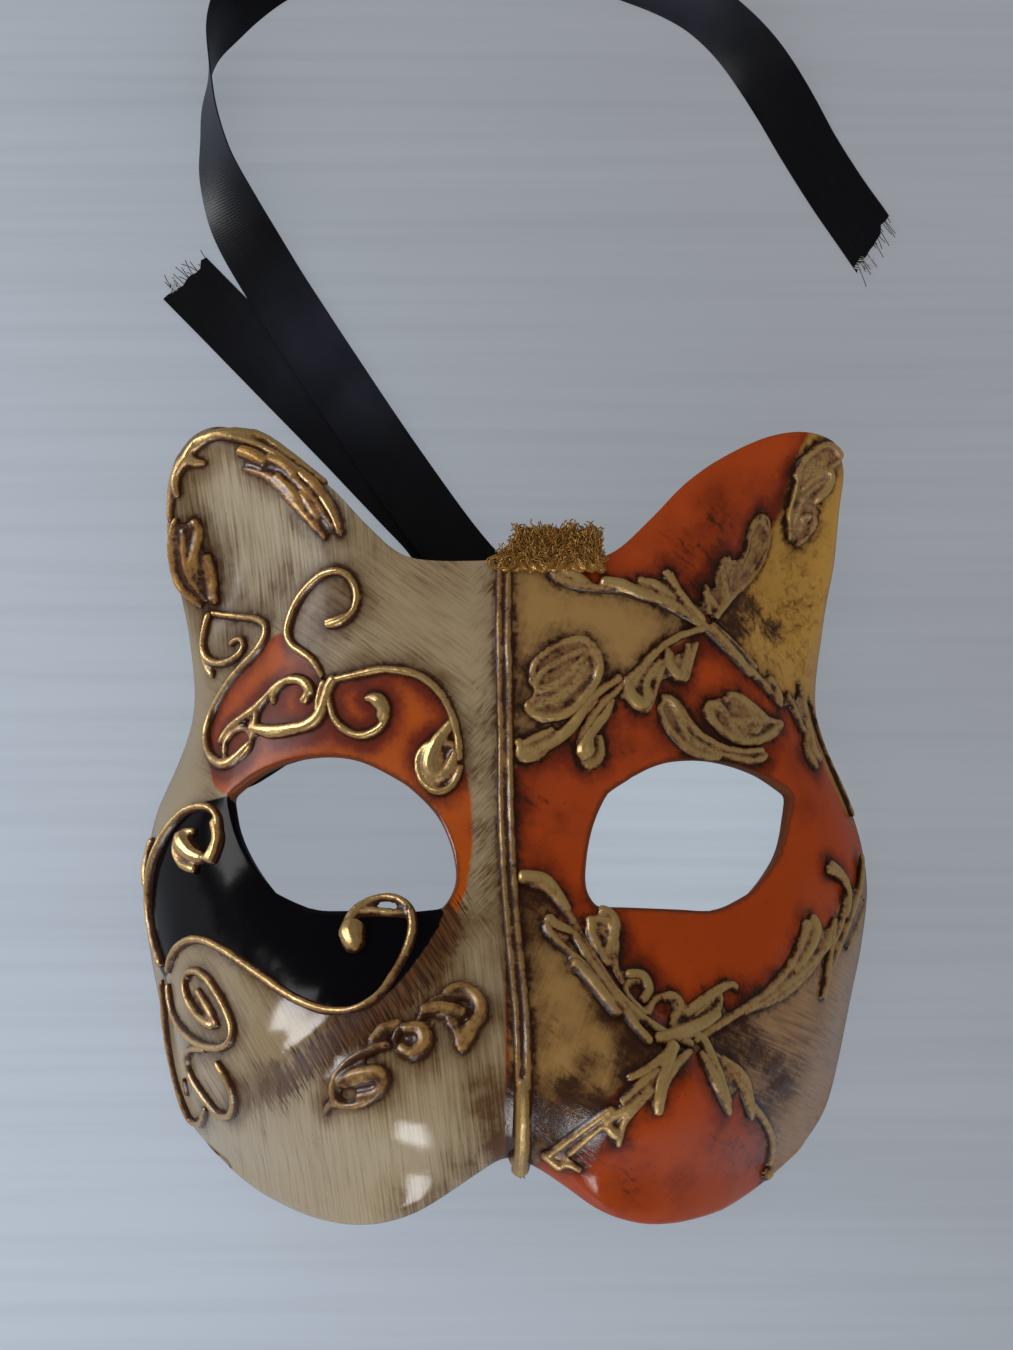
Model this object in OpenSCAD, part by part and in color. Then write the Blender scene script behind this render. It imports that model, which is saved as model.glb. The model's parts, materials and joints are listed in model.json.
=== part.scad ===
// Venetian cat half mask: a papier-mache shell with gilded relief scrolls,
// a corded centre rib, a braid tab on the brow and two satin tie ribbons.
// It lies face up on its temple edges. +X is the wearer's left, +Y runs to the ears.
// In the names, left and right are as a person facing the mask sees them: left is -X.

/* [Shell] */
// Width across the temples
face_w = 145; // [125:1:165]
// Length from the muzzle edge to the ear tips
face_l = 152; // [135:1:170]
// Height of the nose over the temple edges
face_depth = 60; // [48:1:70]
// Thickness of the papier-mache
wall = 2.2; // [1.6:0.1:3]
// Depth of the hollow in each ear
ear_hollow = 9; // [4:0.5:11]
// Height of the fold that runs up each ear
ear_fold = 8; // [4:0.5:11]
// Height of the round lobes beside the nose
lobe_rise = 4; // [1:0.5:6]
// Depth of the fold between each cheek and its lobe
fold_depth = 2.2; // [0:0.1:3]

/* [Eyes] */
// Width of each eye hole
eye_w = 44; // [38:0.5:47]
// Height of each eye hole
eye_h = 29; // [24:0.5:32]
// Depth of the socket round each eye
socket_depth = 5; // [2:0.5:7]

/* [Relief] */
// Height of the smooth gilded piping
piping_h = 1.5; // [0.8:0.1:2.2]
// Height of the flat gilded leaves
leaf_h = 1.1; // [0.6:0.1:1.8]
// Deepest bedding of the relief in the shell
bedding = 0.3; // [0.1:0.05:0.5]

/* [Centre rib] */
// Width of each of the two cords of the rib
rib_cord_w = 1.5; // [1:0.1:2]
// Height of the rib
rib_h = 1.7; // [1:0.1:2.4]
// Diameter of the bead at its lower end
rib_bead_d = 3.8; // [2.5:0.1:5]

/* [Braid tab] */
// Width of the braid along the top edge
tab_w = 20; // [10:1:22]
// Height of the braid over the top edge
tab_rise = 7; // [4:0.5:10]
// Thickness of the braid
tab_t = 1.6; // [1:0.1:2.4]

/* [Ribbons] */
// Width of the satin ribbon
ribbon_w = 12.7; // [9:0.1:14]
// Thickness of the ribbon
ribbon_t = 0.8; // [0.6:0.1:1.2]
// Thickness of the glued paper patch over each ribbon's end
patch_t = 0.8; // [0.5:0.1:1.5]

/* [Hidden] */

cream = [0.72, 0.66, 0.52];
gold = [0.72, 0.52, 0.22];
old_gold = [0.60, 0.45, 0.20];
satin_black = [0.03, 0.03, 0.04];
paper = [0.62, 0.60, 0.55];

// The points below are drawn for a face of this size, and stretch with it
drawn = [145, 152, 60];
stretch = [face_w / drawn.x, face_l / drawn.y, face_depth / drawn.z];
// Drawn height of the middle between the muzzle edge and the ear tips
middle_y = 0.65;

// ---- curves ----
function blend4(a, b, c, d, t) =
    0.5 * (2 * b + (c - a) * t + (2 * a - 5 * b + 4 * c - d) * t * t
        + (3 * b - a - 3 * c + d) * t * t * t);

// Point at fraction t of a smooth curve through the points p
function along(p, t) =
    let (n = len(p) - 1, s = min(n - 0.0001, max(0, t * n)), i = floor(s))
    blend4(p[max(i - 1, 0)], p[i], p[i + 1], p[min(i + 2, n)], s - i);

// Value at x of a smooth curve through pairs [x, value], in rising x
function value_at(p, x, i = 0) =
    x <= p[0].x ? p[0].y
    : x >= p[len(p) - 1].x ? p[len(p) - 1].y
    : x > p[i + 1].x ? value_at(p, x, i + 1)
    : blend4(p[max(i - 1, 0)].y, p[i].y, p[i + 1].y, p[min(i + 2, len(p) - 1)].y,
        (x - p[i].x) / (p[i + 1].x - p[i].x));

function unit(v) = v / max(norm(v), 0.000001);
function bell(x, y, c, r) = exp(-pow((x - c.x) / r.x, 2) - pow((y - c.y) / r.y, 2));
// Share of the way from a to b at which the line a-b passes nearest to p
function share_of(p, a, b) = min(1, max(0, (p - a) * (b - a) / ((b - a) * (b - a))));
function ridge(p, a, b, r) =
    let (t = share_of(p, a, b)) exp(-pow(norm(p - a - t * (b - a)) / r, 2));

// ---- the face, as a height over x and y ----
// Nose, bridge and forehead along the middle, [y, height]
profile = [[-72, 54], [-57, 59], [-45, 60], [-30, 54], [-10, 45], [10, 42], [30, 44],
    [46, 40], [62, 36], [80, 30]];
// Half widths, [y, distance from the middle]
left_side = [[-66, 54], [-60, 61], [-55, 64], [-50, 65.5], [-42, 67.5], [-30, 69.5],
    [-18, 72], [-8, 72.5], [0, 71.5], [8, 68.5], [18, 64.5], [27, 63], [34, 63], [41, 64],
    [49, 65.5], [57, 66.5], [66, 66.5], [72, 65], [76, 61]];
right_side = [[-66, 54], [-60, 61], [-55, 63.5], [-50, 65], [-42, 66.5], [-30, 69.5],
    [-18, 72], [-8, 72.5], [0, 71], [8, 68], [18, 64], [27, 62.5], [34, 63],
    [41, 64], [49, 65], [57, 65.5], [66, 66.5], [72, 67], [76, 63]];
// Height of the side edge, [y, height]: it rests from the cheek to the temple
side_edge = [[-80, 0], [22, 0], [35, 6], [50, 12], [65, 16], [80, 18]];
// Muzzle edge, [x, y]; the shell's lower edge is its middle part
muzzle_edge = [[-72, -20], [-68.5, -37], [-66, -47], [-63, -56.5], [-58, -62.5], [-50.4, -68.2],
    [-41.5, -72.2], [-32.8, -74.8], [-24.5, -75.2], [-17, -73.2], [-10.5, -69.6], [-4.8, -65.8],
    [0, -63.2], [4.8, -64.6], [10.5, -68.2], [17, -72.8], [25, -75.1], [33.2, -74.8],
    [41.5, -72.6], [49.4, -68.6], [57.5, -63], [63, -55.5], [65.5, -47], [68, -37], [72, -20]];
muzzle_round = 26;
// Height of the muzzle edge, [distance from the middle, height]
lip_height = [[0, 47], [10, 46], [19, 43], [30, 36], [40, 26], [49, 14], [56, 4.5], [61, 0], [70, 0]];
// Fold from beside the nose to the jaw
fold_top = [12, -24];
fold_foot = [51, -54];
ear_tip = [61, 80];
ear_root = [31, 50];

function lip_z(x) = max(0, value_at(lip_height, abs(x)));

function face_z(x, y) =
    let (
        a = abs(x),
        w = value_at(x < 0 ? left_side : right_side, y),
        s = min(a / w, 1),
        e = max(0, value_at(side_edge, y)),
        across = e + (value_at(profile, y) - e) * pow(1 - s * s, 0.62),
        lip = lip_z(x),
        t = min(1, max(0, (y - value_at(muzzle_edge, x)) / muzzle_round)),
        p = [a, y]
    )
    max(0, (across > lip ? lip + (across - lip) * pow(1 - pow(1 - t, 2), 0.7) : across)
        - socket_depth * bell(a, y, [34, -4], [24, 17])
        + lobe_rise * bell(a, y, [25, -53], [16, 13])
        - fold_depth * ridge(p, fold_top, fold_foot, 4)
        + ear_fold * ridge(p, ear_root, ear_tip, 8) * (0.4 + 0.6 * share_of(p, ear_root, ear_tip))
        - ear_hollow * bell(a, y, [53, 50], [9, 16])
        + ear_fold / 2 * ridge(p, [67, 40], [67, 80], 6));

// Point over a drawn point, at height z
function placed(p, z) = [p.x * stretch.x, (p.y - middle_y) * stretch.y, z * stretch.z];
// Point of the outer face over a drawn point, its normal, and a point off it
function on_face(p) = placed(p, face_z(p.x, p.y));
function face_normal(p, d = 0.5) =
    unit(cross(on_face([p.x + d, p.y]) - on_face([p.x - d, p.y]),
        on_face([p.x, p.y + d]) - on_face([p.x, p.y - d])));
function off_face(p, h) =
    let (q = on_face(p) + h * face_normal(p)) [q.x, q.y, max(q.z, 0)];

// ---- the shell's grid: a patch between four edges, eased round two eye holes ----
columns = 48;
rows = 42;
eye_columns = [6, 20];
eye_rows = [17, 25];
eye_reach = 6;

left_edge = [[-58, -62.5], [-63, -56.5], [-66.6, -46], [-69, -34], [-71.4, -22],
    [-72.5, -9], [-70.8, 3], [-65.8, 15], [-63.2, 26], [-63.6, 38], [-65.6, 50],
    [-66.7, 61], [-66, 70], [-62, 75]];
right_edge = [[57.5, -63], [63, -55.5], [66, -45], [68.5, -34], [71.2, -22], [72.5, -9],
    [70.2, 3], [65.2, 15], [62.8, 26], [63.4, 38], [65, 50], [66, 61], [67, 69], [65, 74]];
top_edge = [[-62, 75], [-56, 76.4], [-48, 73.8], [-40.5, 69], [-33, 62], [-26.5, 54.5],
    [-20, 48.5], [-12, 47], [0, 47], [12, 47], [20, 48.5], [26.5, 54.5], [32.5, 61.5],
    [40, 68], [48, 72.5], [54, 74.5], [60, 75], [65, 74]];
bottom_edge = [for (k = [4:len(muzzle_edge) - 5]) muzzle_edge[k]];

// Each eye hole in four runs: its top and bottom from left to right, then its
// outer and inner ends from the bottom up
left_eye = [
    [[-53.5, 4.5], [-47, 8.5], [-38, 10.5], [-28, 9.5], [-18.5, 4.5]],
    [[-43, -15], [-35, -18.5], [-27, -19], [-19, -19.5], [-11.5, -19]],
    [[-43, -15], [-48, -9], [-51.5, -3], [-53.5, 4.5]],
    [[-11.5, -19], [-9, -14.5], [-10, -7.5], [-13, -1], [-18.5, 4.5]]];
right_eye = [
    [[19, 3], [28, 8.5], [38, 10], [48, 8.5], [55.5, 5]],
    [[16.5, -18.5], [24, -18.5], [31, -18.5], [38.5, -18.5], [45.5, -15]],
    [[16.5, -18.5], [14.5, -15], [15, -7.5], [16.5, -2], [19, 3]],
    [[45.5, -15], [50, -10], [53, -4.5], [55.5, 5]]];
left_eye_centre = [-31.5, -4.5];
right_eye_centre = [35, -4.5];
drawn_eye = [44, 29];

function eased(u, c) = u - c / 360 * sin(360 * u);
function eased_up(v, c) = v - c / 180 * sin(180 * v);
function patch(i, j) =
    let (
        u = eased(i / columns, 0.35), v = eased_up(j / rows, 0.3),
        b = along(bottom_edge, u), t = along(top_edge, u),
        l = along(left_edge, v), r = along(right_edge, v)
    )
    (1 - v) * b + v * t + (1 - u) * l + u * r
        - (1 - u) * (1 - v) * bottom_edge[0] - u * (1 - v) * right_edge[0]
        - (1 - u) * v * top_edge[0] - u * v * top_edge[len(top_edge) - 1];

function eye_point(eye, centre, u, v) =
    let (p = v >= 1 ? along(eye[0], u) : v <= 0 ? along(eye[1], u)
            : u <= 0 ? along(eye[2], v) : along(eye[3], v))
    centre + [(p.x - centre.x) * eye_w / drawn_eye.x, (p.y - centre.y) * eye_h / drawn_eye.y];

// How far one eye hole pulls the grid point i, j
function eye_pull(i, j, c, eye, centre) =
    let (
        ci = min(c[1], max(c[0], i)), cj = min(eye_rows[1], max(eye_rows[0], j)),
        far = norm([i - ci, j - cj]) / eye_reach,
        hold = far >= 1 ? 0 : 1 - far * far * (3 - 2 * far)
    )
    hold == 0 ? [0, 0]
    : hold * (eye_point(eye, centre, (ci - c[0]) / (c[1] - c[0]),
        (cj - eye_rows[0]) / (eye_rows[1] - eye_rows[0])) - patch(ci, cj));

right_columns = [columns - eye_columns[1], columns - eye_columns[0]];
function shell_xy(i, j) = patch(i, j)
    + eye_pull(i, j, eye_columns, left_eye, left_eye_centre)
    + eye_pull(i, j, right_columns, right_eye, right_eye_centre);

function in_block(i, j, c) = i >= c[0] && i < c[1] && j >= eye_rows[0] && j < eye_rows[1];
function is_hole(i, j) = in_block(i, j, eye_columns) || in_block(i, j, right_columns);
function is_cell(i, j) =
    i >= 0 && j >= 0 && i < columns && j < rows && !is_hole(i, j);

// Point of the outer face at i, j; the rim follows the edges' own heights
function shell_point(i, j) =
    let (
        p = shell_xy(i, j),
        rim = i == 0 ? -value_at(left_side, p.y) : i == columns ? value_at(right_side, p.y) : p.x
    )
    placed(p, j == 0 ? lip_z(p.x) : face_z(rim, p.y));

module shell() {
    n = (columns + 1) * (rows + 1);
    function at(i, j) = j * (columns + 1) + i;
    // A wall stands on each side of a cell that has no neighbour there
    function side(i, j, k, p, q) = is_cell(k[0], k[1]) ? [] : [[p, q, q + n], [p, q + n, p + n]];
    // Each cell is cut the way its side of the face runs
    function halves(i, a, b, d, e) =
        i < columns / 2 ? [[a, d, e], [a, e, b]] : [[a, d, b], [b, d, e]];
    xy = [for (j = [0:rows], i = [0:columns]) shell_xy(i, j)];
    outer = [for (j = [0:rows], i = [0:columns]) shell_point(i, j)];
    inner = [for (k = [0:n - 1])
        let (q = outer[k] - wall * face_normal(xy[k])) [q.x, q.y, max(q.z, 0)]];
    cells = [for (j = [0:rows - 1], i = [0:columns - 1]) if (is_cell(i, j)) [i, j]];
    color(cream)
    polyhedron(
        points = concat(outer, inner),
        faces = [for (c = cells)
            let (i = c[0], j = c[1], a = at(i, j), b = at(i + 1, j), d = at(i, j + 1), e = at(i + 1, j + 1))
            each concat(halves(i, a, b, d, e), [for (f = halves(i, a, b, d, e)) [f[0] + n, f[2] + n, f[1] + n]],
                side(i, j, [i, j - 1], a, b), side(i, j, [i + 1, j], b, e),
                side(i, j, [i, j + 1], e, d), side(i, j, [i - 1, j], d, a))]);
}

// ---- relief ----
ring_step = 2.8;

// Rings of a stroke's drawn points, [x, y, width], a step apart
function stroke_points(p) = [
    for (i = [0:len(p) - 2])
        let (n = max(1, ceil(norm([p[i + 1].x - p[i].x, p[i + 1].y - p[i].y]) / ring_step)))
        for (k = [0:n - 1])
            blend4(p[max(i - 1, 0)], p[i], p[i + 1], p[min(i + 2, len(p) - 1)], k / n),
    p[len(p) - 1]];

// A domed ridge that lies on the face along the points [x, y, width]
module stroke(p, h, bed = bedding) {
    q = stroke_points(p);
    n = len(q);
    dome = [[1, 0], [0.72, 0.7], [0, 1], [-0.72, 0.7], [-1, 0]];
    m = len(dome);
    rings = [for (i = [0:n - 1])
        let (
            c = on_face(q[i]),
            up = face_normal(q[i]),
            ahead = unit(on_face(q[min(i + 1, n - 1)]) - on_face(q[max(i - 1, 0)])),
            out = unit(cross(ahead, up)),
            w = q[i][2] / 2,
            rise = min(h, w * 1.4)
        )
        for (d = dome)
            let (g = c + out * d.x * w + up * (d.y * rise - (1 - d.y) * bed))
            [g.x, g.y, max(g.z, 0.1)]];
    polyhedron(
        points = rings,
        faces = [
            [for (k = [m - 1:-1:0]) k],
            [for (k = [0:m - 1]) (n - 1) * m + k],
            for (i = [0:n - 2], k = [0:m - 1])
                let (a = i * m + k, b = i * m + (k + 1) % m)
                each [[a, b + m, a + m], [a, b, b + m]]]);
}

// Later strokes lie a little higher, so that each runs cleanly into the one before
module strokes(list, h) {
    for (i = [0:len(list) - 1])
        stroke(list[i], h * (1 - 0.06 * (i % 3)), bedding * (1 - 0.45 * (i % 3)));
}

// A round bead bedded on the face
module bead(p, d) {
    translate(on_face(p)) sphere(d = d, $fn = 16);
}

// ---- left side: smooth round piping ----
module left_ear_rim_cord() {
    color(gold) strokes([
        [[-64.5, 63.5, 1.6], [-65, 67.5, 2.4], [-62.5, 71, 2.6], [-60, 73.8, 2], [-55, 74, 1.8],
            [-47, 71, 1.8], [-39, 64.5, 2], [-34, 58, 1.8], [-31.5, 52.5, 1.4]],
        [[-62.5, 71, 2.2], [-60.5, 69.8, 2.6], [-58.5, 69.6, 1.2]]], piping_h);
}

module left_ear_leaf() {
    color(gold) strokes([
        [[-52, 71.5, 1.4], [-45.5, 68.5, 2.4], [-39.5, 63, 2.2], [-35, 57, 1.8], [-32.5, 53, 1.2]],
        [[-51, 67.5, 1.2], [-46, 65.5, 2.6], [-42.5, 62, 3], [-38.5, 57, 2.6], [-34, 51.5, 1.4]]],
        leaf_h);
}

module left_ear_side_leaves() {
    color(gold) strokes([
        [[-65, 60, 1.2], [-66, 55, 2.6], [-65.3, 49.5, 2.8], [-63.5, 46, 2.2], [-60, 43, 1.6]],
        [[-61.5, 59, 1.2], [-60.8, 56.5, 2.6], [-61.8, 53, 2], [-61, 47.5, 1.2]],
        [[-60.5, 54, 1], [-59.2, 50, 2.2], [-58.3, 46, 2], [-58.3, 43.5, 1.4]]], piping_h);
}

module left_temple_loop() {
    color(gold) strokes([
        [[-58.8, 42, 1.6], [-60, 37, 1.8], [-59.3, 33.5, 2], [-56.5, 31.3, 1.8], [-53, 31.5, 1.8],
            [-50.5, 33.5, 1.6], [-51.5, 35.7, 1.6], [-54.2, 34.6, 1.4]],
        [[-59.5, 33.5, 1.6], [-58.8, 31, 2.4], [-57.3, 29, 2]]], piping_h);
}

module left_brow_line() {
    color(gold) stroke([[-58.5, 41.8, 1.6], [-52.5, 40.2, 1.8], [-47.3, 38.4, 1.8],
        [-45.8, 35.5, 1.8], [-48, 32, 1.8], [-52.5, 28.5, 1.8], [-57, 23, 2], [-58.8, 17.5, 2],
        [-57.5, 12.8, 2], [-54.5, 10.6, 3.2], [-51.3, 12, 2.2], [-48.5, 15, 1.6]], piping_h);
}

module left_brow_scroll() {
    color(gold) strokes([
        [[-38.5, 20.8, 2.6], [-36.8, 23, 2.2], [-38.2, 25.5, 1.8], [-42.5, 25.6, 1.7],
            [-46, 22.5, 1.9], [-49.5, 20, 2.2], [-53.5, 18, 1.9], [-55.6, 15, 1.6]],
        [[-47.6, 20.8, 1.4], [-48.2, 16.8, 1.6], [-48.8, 14.5, 1.4]],
        [[-49, 18.6, 1.4], [-46, 16, 2.2], [-42, 15.8, 2.6], [-38, 16.6, 2], [-35.4, 17.4, 1.4]]],
        piping_h);
}

module left_ear_hook() {
    color(gold) stroke([[-34.4, 25.3, 1.6], [-36.5, 29, 1.9], [-40, 31.5, 2], [-41.6, 34.5, 1.9],
        [-40, 40, 1.9], [-37, 43.5, 1.8], [-33.5, 45.4, 2], [-30, 44.8, 2], [-28, 41, 1.8],
        [-28.8, 37, 1.8], [-31.8, 35.3, 2.4], [-34.2, 35, 1.8]], piping_h);
}

module left_brow_hook() {
    color(gold) strokes([
        [[-34.2, 25, 1.6], [-35.2, 21.5, 1.8], [-35.2, 17.2, 2]],
        [[-33.4, 24.2, 1.6], [-32.8, 19, 1.7], [-30.5, 15.6, 1.9], [-26.5, 14, 2], [-22.8, 15.8, 2],
            [-22, 19, 2], [-24, 21.6, 2.4], [-26.3, 20.4, 1.8]]], piping_h);
}

module left_brow_crest() {
    color(gold) stroke([[-33.6, 24.5, 1.6], [-29, 25.2, 1.9], [-22, 26, 2], [-15.5, 24.3, 2],
        [-11.2, 20, 2], [-9, 14, 1.9], [-8.4, 8.5, 1.8]], piping_h);
}

module left_brow_drop() {
    color(gold) {
        stroke([[-9.3, 11.5, 1.4], [-12, 12.4, 1.6], [-15, 11.6, 1.7], [-16.4, 8.6, 1.8],
            [-15.2, 4.8, 2], [-12, 2.8, 2.2], [-9.3, 4.6, 1.8], [-8.3, 8, 1.6]], piping_h);
        stroke([[-12.4, 11.2, 2.4], [-13, 7.4, 5.6], [-12.2, 4.2, 3.4]], leaf_h);
    }
}

module left_eye_spiral() {
    color(gold) strokes([
        [[-57.4, -8.4, 2.6], [-55.6, -5, 2], [-55, -0.6, 1.8], [-57, 2.4, 1.9], [-61.5, 2.6, 1.9],
            [-66.2, -1, 2], [-69.6, -7, 2.2], [-70.6, -14, 2.2], [-69.4, -21, 2.2],
            [-66.8, -27.5, 2]],
        [[-59.8, -2.2, 1.8], [-62.8, -2.2, 1.8], [-64.3, -5, 1.8], [-62.4, -8.6, 2],
            [-59.2, -9.6, 2.4]]], piping_h);
}

module left_cheek_border() {
    color(gold) stroke([[-65.2, -29, 1.8], [-63.4, -25, 2], [-59.5, -23, 2], [-54.5, -24.5, 1.9],
        [-47, -29.2, 1.9], [-39, -34.6, 1.8], [-32.5, -37.2, 1.8], [-27, -37.6, 1.8],
        [-22.8, -35.4, 1.9], [-20, -31.5, 2], [-17.2, -25, 2], [-17, -19.8, 2], [-20.2, -17, 2],
        [-25, -17.6, 2.2], [-28.2, -20.6, 3], [-28.4, -24.5, 4.2], [-26.2, -26.4, 2.6]], piping_h);
}

module left_cheek_loop_upper() {
    color(gold) stroke([[-65.2, -31, 1.6], [-63.6, -37.5, 1.8], [-58, -42.6, 1.9],
        [-51.6, -43.6, 1.8], [-49.8, -40.6, 1.8], [-52.6, -34.8, 1.9], [-56.8, -29.8, 2],
        [-60.2, -29.3, 1.9], [-60.6, -33, 1.9], [-57.6, -37.6, 2.2], [-53.8, -39.8, 2]], piping_h);
}

module left_cheek_loop_lower() {
    color(gold) stroke([[-55.8, -43.9, 1.6], [-60.2, -43.6, 1.8], [-60.4, -47.2, 1.9],
        [-57.4, -52, 2], [-53.4, -56, 2], [-50.4, -55.2, 2], [-50.4, -50.5, 1.9],
        [-53.6, -46, 1.8]], piping_h);
}

module left_jaw_line() {
    color(gold) strokes([
        [[-67.2, -30, 1.6], [-66.6, -37, 2], [-65.6, -45, 2], [-63.8, -52, 2], [-61.4, -57.6, 2],
            [-59, -57.8, 1.8], [-57.4, -54.6, 1.4]],
        [[-62.4, -49, 1.4], [-62, -52.4, 1.2]]], piping_h);
}

module left_muzzle_scroll() {
    color(old_gold) strokes([
        [[-31.8, -55.8, 1.2], [-31.2, -53.8, 1.4], [-28.6, -53.4, 1.6]],
        [[-28.4, -50.8, 1.4], [-25, -49.7, 1.8], [-21.8, -49.3, 1.8], [-21.4, -51.4, 1.6],
            [-24, -53.2, 1.8], [-27.8, -54, 1.8], [-30.2, -51.8, 1.8], [-29, -48, 1.8],
            [-25.4, -45.4, 2], [-21.6, -44, 2], [-19.8, -43.6, 1.6]]], piping_h);
}

module left_muzzle_hook() {
    color(old_gold) strokes([
        [[-19.6, -43.4, 1.4], [-18.6, -40.8, 2.2], [-15.6, -41, 2.4], [-13.8, -43.6, 2.2],
            [-15.2, -45.8, 1.8], [-17.6, -45.4, 1.4]],
        [[-15.2, -40, 1.4], [-13.6, -36.8, 1.8], [-9.8, -35.2, 2.2], [-6, -35.4, 2.4],
            [-4.6, -38.2, 2.4], [-5.8, -42, 2.2], [-8, -45.2, 1.8]],
        [[-8.2, -43.4, 1.6], [-8.6, -40, 2], [-10.6, -38.4, 1.8], [-12.4, -38.8, 1.4]]],
        piping_h);
}

// ---- right side: flat antique leaves ----
module right_forehead_spray() {
    color(old_gold) strokes([
        [[8.6, 46, 1.6], [8.8, 44.2, 2.6], [11.5, 42.6, 3.4], [17.5, 41.4, 2], [24, 41.2, 2.6],
            [30.5, 39.2, 3.2], [36.8, 35.2, 1.6]],
        [[24, 41.8, 1.8], [27.6, 42.2, 2.6], [32, 40.2, 1.8]]], leaf_h);
}

module right_ear_sprig() {
    color(old_gold) strokes([
        [[30.5, 44.8, 2.8], [32, 42.4, 2], [34.6, 39.2, 1.8], [37.8, 36, 1.6]],
        [[40.6, 47.8, 2.6], [41.8, 45, 3], [41.6, 41.4, 2.4], [39.6, 37.2, 1.6]],
        [[37.4, 42.4, 1.4], [38.2, 40.2, 2], [38.6, 37.6, 1.4]],
        [[44.6, 48, 1.4], [46.4, 52, 1.6], [47.6, 56, 1.8], [49.6, 58.8, 1.8], [51.4, 56.8, 1.8],
            [50.4, 52, 1.8], [47.2, 46.8, 1.8], [43.4, 42.4, 1.8], [39.8, 37.4, 1.6]]], leaf_h);
}

module right_ear_tip_leaf() {
    color(old_gold) strokes([
        [[66, 71, 2.2], [63.4, 73, 2], [60, 71.8, 1.8], [57.6, 69, 1.8], [56.6, 64.5, 1.8],
            [55.6, 60.5, 1.8], [56.4, 56, 1.6]],
        [[57.8, 64.8, 1.4], [60.2, 66.8, 2], [63.6, 68.6, 2.2], [63.4, 65.8, 3.2], [60.6, 62.8, 2.4]],
        [[57.4, 55, 1.4], [59.8, 56.8, 1.8], [61.4, 59.8, 1.8], [59.6, 61, 1.8], [57.6, 59.4, 1.4]]],
        leaf_h);
}

module right_temple_sprig() {
    color(old_gold) strokes([
        [[38.4, 35.6, 1.8], [42.6, 31.8, 2.2], [47, 28, 1.8], [50.6, 25.4, 2.4], [53.6, 22.4, 1.6]],
        [[57.6, 27.6, 1.6], [59.2, 22.5, 2.4], [58.8, 17, 2.2], [59.4, 13.4, 3.4],
            [61, 11, 1.8]],
        [[54.6, 25.4, 1.4], [56.6, 22, 2], [58.4, 18, 1.6]]], leaf_h);
}

module right_temple_line() {
    color(old_gold) stroke([[60.6, 25.4, 1], [62.4, 19.4, 1.2], [64.6, 13.4, 1.2], [67.6, 7, 1.2],
        [69.4, 2.4, 1.1]], leaf_h);
}

module right_brow_branch() {
    color(old_gold) strokes([
        [[37.8, 35, 1.8], [33.5, 33.4, 1.8], [29.6, 31, 2], [25, 26.4, 2], [20.6, 22.2, 2],
            [16.6, 18, 2.2], [14.2, 13.6, 2.4], [13.8, 10.4, 2.8], [15.6, 8.2, 3.6],
            [17.6, 10.2, 2.6], [17.2, 14, 1.6]]], leaf_h);
}

module right_brow_drops() {
    color(old_gold) strokes([
        [[26.8, 28, 1.4], [24.2, 24.6, 1.8], [23.4, 21.4, 2], [24.4, 18.8, 2], [26.2, 18.6, 2],
            [27.4, 21.4, 1.8], [28.4, 25, 1.8], [30.2, 28.6, 1.4]],
        [[30.6, 30, 1.4], [30.8, 26.8, 1.8], [32, 24.5, 1.9], [33.8, 24.8, 1.9], [34.4, 28, 1.8],
            [36, 32.4, 1.4]]], leaf_h);
}

module right_forehead_ring() {
    color(old_gold) strokes([
        [[14.8, 29.4, 1.6], [10.4, 27.4, 1.7], [5.8, 24.2, 1.7], [5.2, 21.6, 1.7], [8, 21.8, 1.7],
            [12, 25, 1.7], [14.6, 28.2, 1.4]],
        [[15.4, 29.8, 1.8], [16.8, 26.8, 2], [16.2, 22.6, 1.9], [13.6, 19, 1.8], [9.6, 16.6, 1.8],
            [5.8, 16.2, 1.8], [4.4, 18, 1.8], [7, 19.2, 1.7], [11, 20.6, 1.6], [14.2, 24, 1.5]]],
        leaf_h);
}

module right_forehead_leaf() {
    color(old_gold) strokes([
        [[17, 20.4, 1.4], [13.6, 17, 2], [10, 13.6, 2.8], [6.4, 10.6, 3.6], [3, 9, 3.6],
            [2, 10.6, 2.6], [5.2, 12.8, 2], [9, 14.8, 1.6]]], leaf_h);
}

module right_eye_crescent() {
    color(old_gold) strokes([
        [[29.4, 20.8, 1.8], [31.8, 21.2, 2], [33.2, 18.8, 2], [35.6, 15.6, 1.9], [39.6, 13.4, 1.8],
            [44.5, 12.2, 1.8], [49.6, 13.2, 1.4]],
        [[28.9, 20.4, 1.6], [29.6, 17, 2.4], [32.4, 13.4, 2.6], [36.4, 11.2, 2.2], [40.6, 10.9, 1.6]]],
        leaf_h);
}

module right_brow_leaves() {
    color(old_gold) strokes([
        [[38.4, 20.6, 1.6], [39.4, 17.6, 2.2], [42.4, 15.2, 2.8], [46.6, 14.6, 2.8],
            [50.6, 16, 2.6], [53.6, 18.6, 1.8], [50, 18.6, 1.6], [46.8, 19.2, 1.4]],
        [[41, 22, 1.6], [44.6, 21.8, 1.9], [47.6, 19.6, 2], [45, 18, 2.4], [41.6, 18.4, 1.8]]],
        leaf_h);
}

module right_nose_stem() {
    color(old_gold) stroke([[2.4, -13.8, 2.6], [5.6, -14.6, 2.6], [9, -17, 2.2], [13, -23.4, 2.2],
        [17.4, -31.4, 2.2], [20.2, -35.4, 2.2], [24, -39, 2.2], [29, -42.2, 2.2],
        [33, -43.4, 2]], leaf_h);
}

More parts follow.
